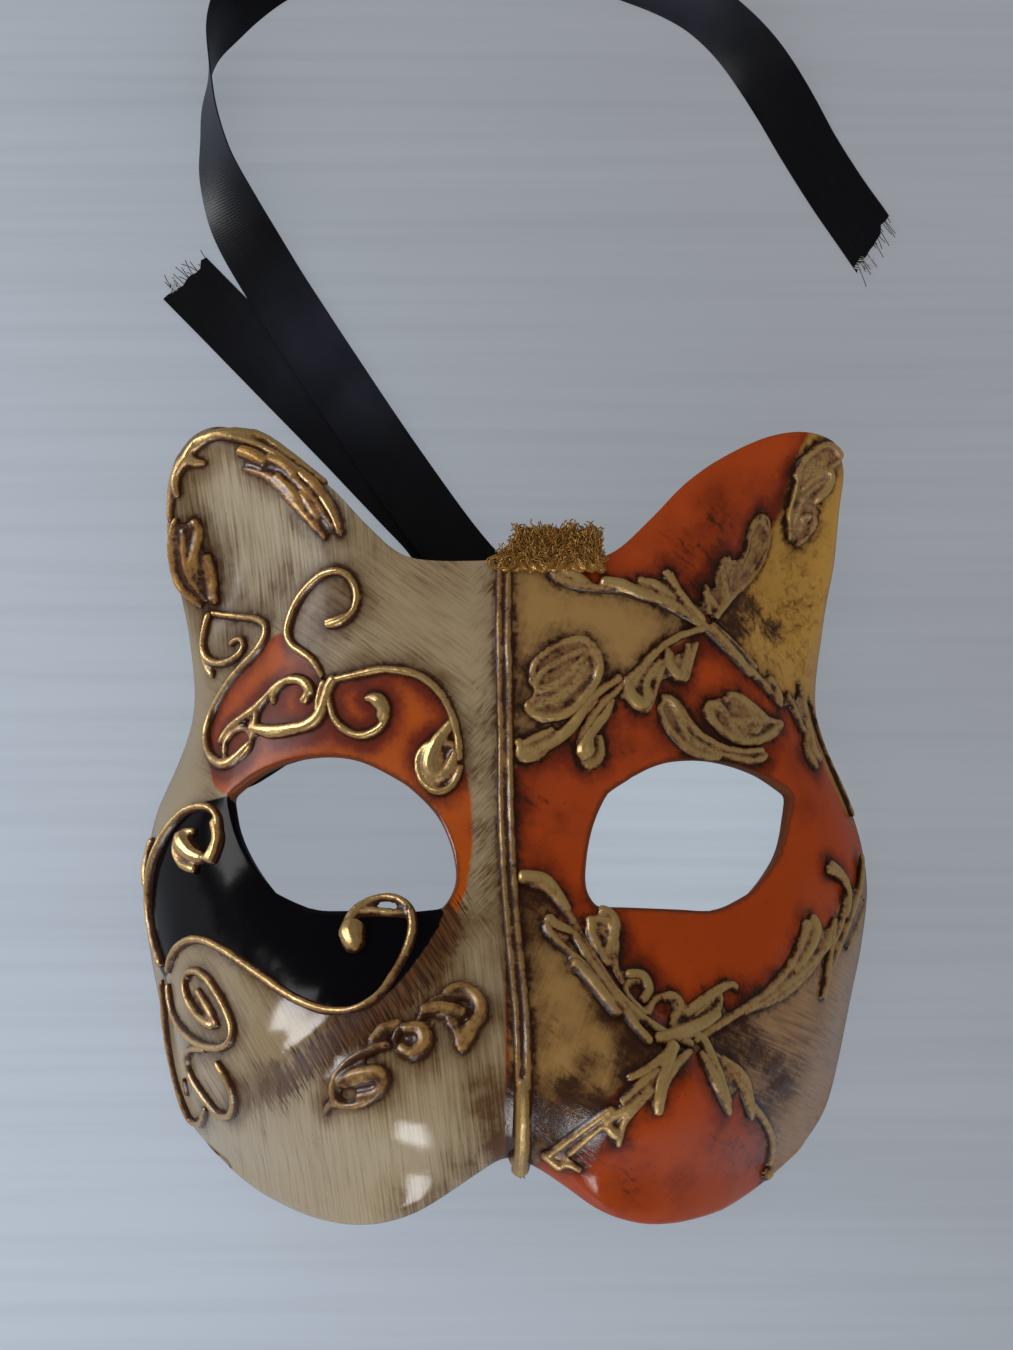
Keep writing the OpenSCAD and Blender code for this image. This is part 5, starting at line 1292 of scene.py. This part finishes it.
class MASK_OT_shell(bpy.types.Operator):
    """The papier-mache shell with its painted areas"""

    bl_idname = "mask.shell"
    bl_label = "Papier-mache shell"

    def execute(self, context):
        settings = context.scene.mask_paint
        shell, kinds = shell_form(settings)
        mesh = shell.data
        shell_marks(mesh, kinds)
        carry(mesh, "relief_gap", np.full(len(mesh.vertices), FEELS_AS_FAR_AS))
        mesh.materials.clear()
        painted = paint_finish(settings)
        for finish in (painted, bare_paper_finish(settings)):
            mesh.materials.append(finish)
        mesh.polygons.foreach_set("material_index", np.where(kinds == INNER, 1, 0))
        settle(shell, "papier_mache", "shell")
        return {"FINISHED"}


# ---- relief ----
# Grain of a footprint, how far inside it a leaf's skin starts and how deep that skin is rooted
CELL = 0.2
LEAF_RIM = 0.45
LEAF_ROOT = 0.5


def shifted(grid, reach):
    """A grid grown by a round reach in cells."""
    grown = grid.copy()
    for i in range(-reach, reach + 1):
        for j in range(-reach, reach + 1):
            if (i or j) and i * i + j * j <= reach * reach + 1:
                a, b = max(i, 0), max(-i, 0)
                c, d = max(j, 0), max(-j, 0)
                n, m = grid.shape
                grown[a:n - b, c:m - d] |= grid[b:n - a, d:m - c]
    return grown


class Footprint:
    """Where a stroke group covers the face in plan, and how deep inside it a place lies."""

    def __init__(self, points, fill):
        pad = 4.0 + fill
        self.low = points[:, :2].min(0) - pad
        count = np.ceil((points[:, :2].max(0) + pad - self.low) / CELL).astype(int)
        grid = np.zeros(count, bool)
        at = ((points[:, :2] - self.low) / CELL).astype(int)
        grid[at[:, 0], at[:, 1]] = True
        grow = 3 + round(fill / CELL)
        self.grid = ~shifted(~shifted(grid, grow), grow)
        self.deep = np.zeros(count)
        left = self.grid
        for ring in range(1, 16):
            left = ~shifted(~left, 1)
            if not left.any():
                break
            self.deep[left] = ring * CELL

    def at(self, points):
        """Depth inside the footprint of points in plan, in millimetres."""
        place = ((points[:, :2] - self.low) / CELL - 0.5)
        i = np.clip(place.astype(int), 0, np.array(self.grid.shape) - 2)
        f = np.clip(place - i, 0, 1)
        d = self.deep
        x, y = i[:, 0], i[:, 1]
        near = d[x, y] * (1 - f[:, 1]) + d[x, y + 1] * f[:, 1]
        far = d[x + 1, y] * (1 - f[:, 1]) + d[x + 1, y + 1] * f[:, 1]
        return near * (1 - f[:, 0]) + far * f[:, 0]


def leaf_skin(footprint, shell, skin_faces, centres, normals, height):
    """The shell's own skin between a leaf's rims, lifted as a thin slab."""
    inner = footprint.at(centres)
    low, high = footprint.low, footprint.low + np.array(footprint.grid.shape) * CELL
    inside = ((centres[:, :2] > low) & (centres[:, :2] < high)).all(1) & (inner > LEAF_RIM)
    chosen = [skin_faces[k] for k in np.nonzero(inside)[0]]
    form = bmesh.new()
    if not chosen:
        return form
    used = sorted({i for face in chosen for i in face})
    spots = {i: form.verts.new(shell.vertices[i].co - Vector(normals[i]) * LEAF_ROOT * MM)
             for i in used}
    faces = [form.faces.new([spots[i] for i in face]) for face in chosen]
    lifted = bmesh.ops.extrude_face_region(form, geom=faces, use_keep_orig=True)
    tops = [v for v in lifted["geom"] if isinstance(v, bmesh.types.BMVert)]
    tree = finder({i: spots[i].co for i in used})
    for v in tops:
        i = tree.find(v.co)[1]
        v.co = v.co + Vector(normals[i]) * (height + LEAF_ROOT) * MM
    bmesh.ops.reverse_faces(form, faces=faces)
    bmesh.ops.recalc_face_normals(form, faces=form.faces)
    return form


class Relief:
    """Models the stroke groups on the shell's outer skin."""

    def __init__(self, settings):
        shell = bpy.data.objects["papier_mache_shell"].data
        kinds = read(shell.polygons, "material_index", kind=np.int32)
        self.settings = settings
        self.shell = shell
        self.tree, self.faces = outer_skin(shell, kinds)
        points = points_of(shell)
        self.centres = np.array([points[list(f)].mean(0) for f in self.faces])
        self.normals = normals_of(shell)

    def stroke_group(self, node, fill=0.0, dip=0.0):
        """One CAD stroke group as blended paste, with the values that its gilding reads."""
        settings = self.settings
        form = welded(node)
        rough = piece_from(form, node + "_gilt")
        applied(rough, smoothed(1))
        if node in FINE_STROKES:
            self.join(rough, self.fine_strokes(node))
        dense = applied(self.copy(rough), smoothed(2))
        footprint = Footprint(points_of(dense.data), fill)
        bpy.data.objects.remove(dense)
        if fill:
            slab = leaf_skin(footprint, self.shell, self.faces, self.centres, self.normals, 0.5)
            self.join(rough, piece_from(slab, "slab"))
        swell = settings.swell / MM
        put_points(rough.data, points_of(rough.data) + normals_of(rough.data) * (swell + 0.08))
        applied(rough, *kneaded(settings.voxel, 4))
        mesh = rough.data
        mesh.shade_smooth()
        put_points(mesh, points_of(mesh) - normals_of(mesh) * swell)
        points, normals = points_of(mesh), normals_of(mesh)
        ground, up = self.ground(points)
        height = ((points - ground) * up).sum(1)
        deep = footprint.at(points)
        facing = (normals * up).sum(1)
        # Hollow the middle of broad blades, sink the foot and spread it like a fillet
        groove = rise(deep, 0.7, 1.25) * rise(facing, 0.2, 0.7)
        low = 1 - rise(height, 0.1, 0.6)
        aside = normals - up * facing[:, None]
        aside /= np.linalg.norm(aside, axis=1)[:, None].clip(1e-6)
        points = points - up * (groove * dip)[:, None] - up * (low * settings.seat / MM)[:, None]
        skirt = (rise(height, -0.4, 0.0) * (1 - rise(height, 0.0, 0.75))
                 * (1 - rise(facing, 0.6, 0.95)))
        points = points + aside * (skirt * settings.foot / MM)[:, None]
        wobble = ripple(points, 4.5, 40 + len(node), 2)
        points = points + normals * (0.07 * wobble * rise(height, 0.2, 0.8))[:, None]
        points[:, 2] = np.maximum(points[:, 2], PASTE_CLEAR)
        put_points(mesh, points)
        pairs = read(mesh.edges, "vertices", 2, np.int64)
        cavity = self.cavity(mesh, pairs)
        carry(mesh, "crown", np.clip(height / 1.1, -0.5, 1.6))
        carry(mesh, "facing", spread(facing, pairs, 2))
        carry(mesh, "groove", groove * rise(np.full(len(points), dip), 0.05, 0.2))
        carry(mesh, "cavity", cavity)
        return rough

    def fine_strokes(self, node):
        """Round strokes of changing width along plan lines, half sunk in the outer skin."""
        line = round_line(node + "_strokes", MM, 3)
        for stroke in FINE_STROKES[node]:
            places = []
            for x, y, half, *z in ribbon_rings(stroke, 0.7):
                if z:
                    places.append((x * MM, y * MM, z[0] * MM, half))
                    continue
                hit, up, _, _ = self.tree.ray_cast(Vector((x, y, 200.0)) * MM, Vector((0, 0, -1)))
                if hit is not None:
                    places.append((*(hit + up * 0.25 * half * MM), half))
            if len(places) < 2:
                continue
            spline = line.splines.new("POLY")
            spline.points.add(len(places) - 1)
            for i, (point, (x, y, z, half)) in enumerate(zip(spline.points, places)):
                point.co = (x, y, z, 1.0)
                point.radius = half * (0.6 if i in (0, len(places) - 1) else 1.0)
        return drawn_piece(node + "_strokes", line)

    def join(self, piece, addition):
        """Adds another piece's mesh to a piece and removes the other."""
        both = bmesh.new()
        both.from_mesh(piece.data)
        both.from_mesh(addition.data)
        both.to_mesh(piece.data)
        both.free()
        bpy.data.objects.remove(addition)

    def copy(self, piece):
        return placed(piece.name + "_copy", piece.data.copy())

    def ground(self, points):
        """The nearest place on the outer skin and its outward direction."""
        ground = np.empty_like(points)
        up = np.empty_like(points)
        for i, p in enumerate(points):
            place, way, _, _ = self.tree.find_nearest(Vector(p) * MM)
            ground[i] = place
            up[i] = way
        return ground / MM, up

    def cavity(self, mesh, pairs):
        """Positive in the creases of the paste, negative on its ridges."""
        points, normals = points_of(mesh), normals_of(mesh)
        across = points[pairs[:, 1]] - points[pairs[:, 0]]
        reach = np.linalg.norm(across, axis=1).clip(1e-6)
        first = (across * normals[pairs[:, 0]]).sum(1) / reach
        second = -(across * normals[pairs[:, 1]]).sum(1) / reach
        total = np.bincount(pairs[:, 0], first, len(points))
        total += np.bincount(pairs[:, 1], second, len(points))
        count = np.bincount(pairs.ravel(), minlength=len(points)).clip(1)
        return spread(total / count, pairs, 3)


def gilding_finish(name, gold, middle, recess, gloss, metal, wear, base):
    """Gold over the tops of the paste, brown down its sides and dark in its creases and at its
    foot: rubbed gold and brown glaze, with painted shade on the sides, in the creases and at the
    foot, and a painted highlight on the highest gold.
    """
    gilt = Finish(name)
    where = gilt.place()
    cloud = gilt.noise(where, 0.35, 3.0, 0.6)
    brushed = gilt.noise(where, 1.15, 5.0, 0.72)
    grit = gilt.noise(where, 6.0, 3.0, 0.7)
    crown = gilt.own("crown")
    cavity = gilt.own("cavity")
    groove = gilt.own("groove")
    facing = gilt.own("facing")
    # How much gold shows: more on crowns and faces turned up, less in creases; the darker sides and
    # creases are partly painted shade
    kept = crown * 0.55 + facing * 0.50 - cavity * 2.6 + groove * 0.15 \
        + wear * (1.4 * (brushed - 0.5) + 1.6 * (cloud - 0.5) + 0.4 * (grit - 0.5))
    body = gilt.step(kept, base - 0.10, base + 0.20)
    top = gilt.step(kept, base + 0.12, base + 0.55)
    rubbed = gilt.step(kept, base + 0.50, base + 1.0)
    skin = gilt.mix(body, recess, middle)
    skin = gilt.mix(top, skin, gold)
    # Painted highlight: paler gold where the most gold shows
    skin = gilt.mix(rubbed * 0.6, skin, tuple(min(c * 1.35, 0.8) for c in gold))
    skin = gilt.mix(gilt.step(grit, 0.60, 0.72) * wear * 0.6, skin, scaled_colour(middle, 0.6))
    hollow = groove * gilt.step(brushed, 0.48, 0.62)
    skin = gilt.mix(hollow * 0.8, skin, tuple(0.3 * a + 0.7 * b for a, b in zip(middle, recess)))
    # Painted shade with brown glaze darkens the foot of each stroke
    foot = 1.0 - gilt.step(crown + 0.25 * (brushed - 0.5), 0.0, 0.26)
    skin = gilt.mix(foot * 0.9, skin, scaled_colour(recess, 0.5))
    shine = top * (1.0 - hollow * 0.7) * metal
    return gilt.surface(Base_Color=skin, Metallic=shine,
                        Roughness=gloss + 0.20 * cloud + 0.10 * hollow,
                        Coat_Weight=0.25, Coat_Roughness=0.08,
                        Normal=gilt.bump(brushed * 0.8 + grit * 0.3, 0.00016, 0.35 + wear * 0.5),
                        Specular_IOR_Level=0.4)


# Gloss and metal of each gilding, how worn it is, and the height at which the gold begins
GILDINGS = {
    "polished_gilding": {"gloss": 0.18, "metal": 0.70, "wear": 0.55, "base": 0.66},
    "browned_gilding": {"gloss": 0.18, "metal": 0.55, "wear": 0.95, "base": 0.86},
    "glazed_paste": {"gloss": 0.16, "metal": 0.20, "wear": 0.9, "base": 0.90},
    "antique_gilding": {"gloss": 0.22, "metal": 0.50, "wear": 0.75, "base": 0.66},
    "worn_rib_gilding": {"gloss": 0.20, "metal": 0.55, "wear": 0.9, "base": 0.76}}
SLOT_OF_NODE = {node: "antique_gilding" for node in (*ANTIQUE_LEAVES, *GLAZED_SCROLLS)}


def gild(context, groups, name, gold, middle=1.0, recess=1.0):
    """Models and gilds stroke groups, each in its CAD node's place.

    The shares darken the settings' colours of the flanks and the recesses.
    """
    settings = context.scene.mask_gilding
    finish = gilding_finish(name, gold, scaled_colour(settings.middle, middle),
                            scaled_colour(settings.recess, recess), **GILDINGS[name])
    relief = Relief(settings)
    for node, habits in groups.items():
        made = relief.stroke_group(node, **habits)
        clad(made, finish, SLOT_OF_NODE.get(node, "gilding"), node)
    return {"FINISHED"}


class MASK_OT_piping(bpy.types.Operator):
    """Smooth polished piping of the left side"""

    bl_idname = "mask.piping"
    bl_label = "Polished piping"

    def execute(self, context):
        return gild(context, POLISHED_PIPING, "polished_gilding",
                    context.scene.mask_gilding.polished)


class MASK_OT_browned_leaves(bpy.types.Operator):
    """Glazed brown-gold leaves of the left ear"""

    bl_idname = "mask.browned_leaves"
    bl_label = "Browned leaves"

    def execute(self, context):
        return gild(context, BROWNED_LEAVES, "browned_gilding",
                    context.scene.mask_gilding.browned)


class MASK_OT_glazed_scrolls(bpy.types.Operator):
    """Scrolls of the muzzle, sunk in the same brown glaze as the cream about them"""

    bl_idname = "mask.glazed_scrolls"
    bl_label = "Glazed scrolls"

    def execute(self, context):
        return gild(context, GLAZED_SCROLLS, "glazed_paste",
                    scaled_colour(context.scene.mask_gilding.browned, 0.72), middle=0.55)


class MASK_OT_antique_leaves(bpy.types.Operator):
    """Flat antique leaves and branches of the right side"""

    bl_idname = "mask.antique_leaves"
    bl_label = "Antique leaves"

    def execute(self, context):
        return gild(context, ANTIQUE_LEAVES, "antique_gilding",
                    context.scene.mask_gilding.antique, recess=0.6)


class MASK_OT_rib(bpy.types.Operator):
    """The two gilded cords down the middle of the face, with their bead under the nose"""

    bl_idname = "mask.rib"
    bl_label = "Centre rib"

    def execute(self, context):
        return gild(context, {"centre_rib": {}}, "worn_rib_gilding",
                    scaled_colour(context.scene.mask_gilding.antique, 0.8))


class MASK_OT_patina_and_shade(bpy.types.Operator):
    """How far the shell lies from the relief, for the darkening beside it, painted shade with dark
    glaze, once the relief stands
    """

    bl_idname = "mask.patina"
    bl_label = "Patina"

    def execute(self, context):
        shell = bpy.data.objects["papier_mache_shell"].data
        feet = []
        for node in (*POLISHED_PIPING, *BROWNED_LEAVES, *GLAZED_SCROLLS, *ANTIQUE_LEAVES,
                     "centre_rib"):
            mesh = bpy.data.objects[node + "_gilt"].data
            crown = read(mesh.attributes["crown"].data, "value", kind=np.float32)
            feet.append(points_of(mesh)[(crown > -0.35) & (crown < 0.5)][::2])
        feet = np.concatenate(feet)
        tree = finder(dict(enumerate(feet)))
        points = points_of(shell)
        carry(shell, "relief_gap", [min(tree.find(p)[2], FEELS_AS_FAR_AS) for p in points])
        return {"FINISHED"}


# ---- braid ----
BRAID_GRAIN = 0.32
PLAIT_WIDTH = 4.6
PLAIT_PITCH = 2.1
CROWN_HAIRS, EDGE_HAIRS, LOOP_HAIRS = 70, 26, 9
# Where along a loose hair its bends lie
HAIR_POINTS = (0, 0.35, 0.7, 1.0)
# The loop in which the end of the braid turns back beside the rib, from the tab's low left corner
BRAID_LOOP = ((3.0, 1.2, 0.8), (1.0, 0.7, 0.7), (-0.9, 0.8, 0.5), (-1.9, 1.8, 0.4),
              (-1.2, 2.8, 0.6), (0.8, 3.1, 0.9), (3.2, 3.0, 0.9))


def braid_finish(settings):
    """Metallic thread wound over a brown core."""
    braid = Finish("metallic_braid")
    where = braid.place()
    glint = braid.noise(where, 4.5, 2.0, 0.6)
    cloud = braid.noise(where, 0.9, 3.0, 0.6)
    skin = braid.mix(braid.step(glint + 0.5 * cloud, 0.45, 0.95), settings.dull, settings.bright)
    return braid.surface(Base_Color=skin, Metallic=0.6 * braid.step(glint, 0.4, 0.6) + 0.1,
                         Roughness=0.26 + 0.2 * cloud, Normal=braid.bump(glint, 0.00008, 0.5))


class MASK_OT_braid(bpy.types.Operator):
    """The tab of metallic braid over the top edge"""

    bl_idname = "mask.braid"
    bl_label = "Braid tab"

    def execute(self, context):
        settings = context.scene.mask_braid
        low, high = (np.array(c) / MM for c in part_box("braid_tab"))
        finish = braid_finish(settings)
        form = welded("braid_tab")
        bmesh.ops.subdivide_edges(form, edges=form.edges, cuts=3, use_grid_fill=True)
        core = piece_from(form, "braid_core")
        applied(core, *kneaded(BRAID_GRAIN * MM, 3))
        points = points_of(core.data)
        # Diagonal plaits that meet in chevrons, and a ragged upper end
        lean = np.abs(((points[:, 0] - low[0]) / PLAIT_WIDTH) % 2 - 1) * PLAIT_WIDTH
        plait = np.sin((points[:, 1] + points[:, 2] * 0.7 + lean) * 2 * math.pi / PLAIT_PITCH)
        lift = 0.28 * plait + 0.22 * ripple(points, 2.2, 31, 2)
        points = points + normals_of(core.data) * lift[:, None]
        points = self.gathered(points, low, high)
        top = rise(points[:, 1], high[1] - 2.6, high[1])
        points[:, 1] += top * (0.9 * ripple(points * (1, 0, 0), 3.6, 17, 2) - 0.9)
        put_points(core.data, points)
        clad(core, finish, "braid", "braid_tab")

        rng = np.random.default_rng(44)
        tree = BVHTree.FromPolygons([v.co for v in core.data.vertices],
                                    [tuple(p.vertices) for p in core.data.polygons])
        strands = []
        for _ in range(settings.threads):
            x = rng.uniform(low[0] + 0.2, high[0] - 0.2)
            y = rng.uniform(low[1] + 1.6, high[1] - 0.4)
            hit = tree.ray_cast(Vector((x, y, high[2] + 5)) * MM, Vector((0, 0, -1)))
            if hit[0] is None:
                continue
            base = np.array(hit[0]) / MM
            way = 1 if (x - low[0]) % (2 * PLAIT_WIDTH) < PLAIT_WIDTH else -1
            along = np.array((0.45 * way, 0.85, 0.0)) + rng.normal(0, 0.42, 3)
            along /= np.linalg.norm(along)
            side = np.cross(along, (0, 0, 1.0))
            length = rng.uniform(1.6, 3.6)
            strand = []
            for t in np.linspace(-0.5, 0.5, 7):
                curl = rng.normal(0, 0.34, 3)
                arch = (0, 0, 0.12 + 0.35 * (0.25 - t * t) * 2)
                place = base + along * t * length + side * curl[0] + arch
                place = place + (0, 0, abs(curl[2]) * 0.5)
                strand.append(place * MM)
            strands.append(strand)
        for _ in range(CROWN_HAIRS):
            x = rng.uniform(low[0] + 3.6, high[0] - 1.2)
            start = np.array((x, high[1] - 2.2 + 0.8 * math.sin(x * 1.1),
                              rng.uniform(low[2] + 2.4, high[2] - 1.0)))
            way = np.array((rng.normal(0, 0.45), 1.0, rng.normal(0, 0.3)))
            length = rng.uniform(0.8, 2.2)
            strand = [start + way * length * t + rng.normal(0, 0.12, 3) for t in HAIR_POINTS]
            strands.append([q * MM for q in strand])
        for k in range(EDGE_HAIRS):
            side = 1.0 if k % 3 == 0 else 0.0
            start = np.array((low[0] + side * (high[0] - low[0]),
                              rng.uniform(low[1] + 1.6, high[1] - 2),
                              high[2] - rng.uniform(0.6, 2.4)))
            start = self.gathered(start[None], low, high)[0]
            way = np.array((2 * side - 1, rng.normal(0.4, 0.5), rng.normal(0, 0.25)))
            length = rng.uniform(0.5, 1.4)
            strand = [start - way * 0.4 + way * length * t + rng.normal(0, 0.14, 3)
                      for t in HAIR_POINTS]
            strands.append([q * MM for q in strand])
        for _ in range(LOOP_HAIRS):
            turn = rng.normal(0, 0.22, 3)
            strands.append([(np.array((low[0] + x, low[1] + y, high[2] - 1.2 + z)) + turn) * MM
                            for x, y, z in BRAID_LOOP])
        loose = thin_threads("braid_threads", strands, settings.thread)
        clad(loose, finish, "braid")
        return {"FINISHED"}

    def gathered(self, points, low, high):
        """The tab drawn in toward its upper end, more on the left."""
        points = points.copy()
        up = rise(points[:, 1], low[1] + 0.30 * (high[1] - low[1]),
                  low[1] + 0.75 * (high[1] - low[1]))
        across = (points[:, 0] - low[0]) / (high[0] - low[0])
        points[:, 0] += up * (3.4 * (1 - across) - 1.0 * across)
        return points


# ---- ribbon patches ----
class MASK_OT_patches(bpy.types.Operator):
    """Glued paper patches that hold the ties inside the temples"""

    bl_idname = "mask.patches"
    bl_label = "Ribbon patches"

    def execute(self, context):
        patch = Finish("glued_patch")
        where = patch.place()
        fibres = patch.noise(where, 2.2, 5.0, 0.7)
        cloud = patch.noise(where, 0.25, 3.0)
        creases = patch.noise(patch.mapped(where, (0.5, 0.12, 0.5)), 1.0, 3.0, 0.6, 1.2)
        paper = patch.mix(cloud, (0.24, 0.17, 0.105), (0.37, 0.29, 0.2))
        paper = patch.mix(patch.step(fibres, 0.5, 0.8) * 0.3, paper, (0.45, 0.38, 0.29))
        finish = patch.surface(Base_Color=paper, Roughness=0.6 - 0.15 * cloud,
                               Normal=patch.bump(fibres * 0.3 + creases, 0.0003, 0.6))
        for side in ("left", "right"):
            node = side + "_ribbon_patch"
            made = piece_from(welded(node), side + "_glued_patch")
            applied(made, smoothed(3))
            points = points_of(made.data)
            lift = 0.10 * ripple(points, 3.2, 60, 2)
            put_points(made.data, points + normals_of(made.data) * lift[:, None])
            clad(made, finish, "paper", node)
        return {"FINISHED"}


# ---- add-on ----
STEPS = (MASK_OT_stage, MASK_OT_ribbons, MASK_OT_shell, MASK_OT_piping, MASK_OT_browned_leaves,
         MASK_OT_glazed_scrolls, MASK_OT_antique_leaves, MASK_OT_rib, MASK_OT_patina_and_shade,
         MASK_OT_braid, MASK_OT_patches)
GROUPS = {"mask_paint": MaskPaint, "mask_gilding": MaskGilding, "mask_ribbons": MaskRibbons,
          "mask_braid": MaskBraid, "mask_stage": MaskStage}


class MASK_PT_panel(bpy.types.Panel):
    """Lists the mask's pieces and their settings"""

    bl_label = "Venetian Cat Mask"
    bl_idname = "MASK_PT_panel"
    bl_space_type = "VIEW_3D"
    bl_region_type = "UI"
    bl_category = "Mask"

    def draw(self, context):
        layout = self.layout
        for step in STEPS:
            layout.operator(step.bl_idname)
        for key, group in GROUPS.items():
            box = layout.box()
            box.label(text=group.__doc__)
            for name in group.__annotations__:
                box.prop(getattr(context.scene, key), name)


def register():
    for group in GROUPS.values():
        bpy.utils.register_class(group)
    for key, group in GROUPS.items():
        setattr(bpy.types.Scene, key, PointerProperty(type=group))
    for step in (*STEPS, MASK_PT_panel):
        bpy.utils.register_class(step)


def unregister():
    for step in reversed((*STEPS, MASK_PT_panel)):
        bpy.utils.unregister_class(step)
    for key in GROUPS:
        delattr(bpy.types.Scene, key)
    for group in reversed(list(GROUPS.values())):
        bpy.utils.unregister_class(group)


def main():
    register()
    for step in STEPS:
        getattr(bpy.ops.mask, step.bl_idname.split(".")[1])()


if __name__ == "__main__":
    main()
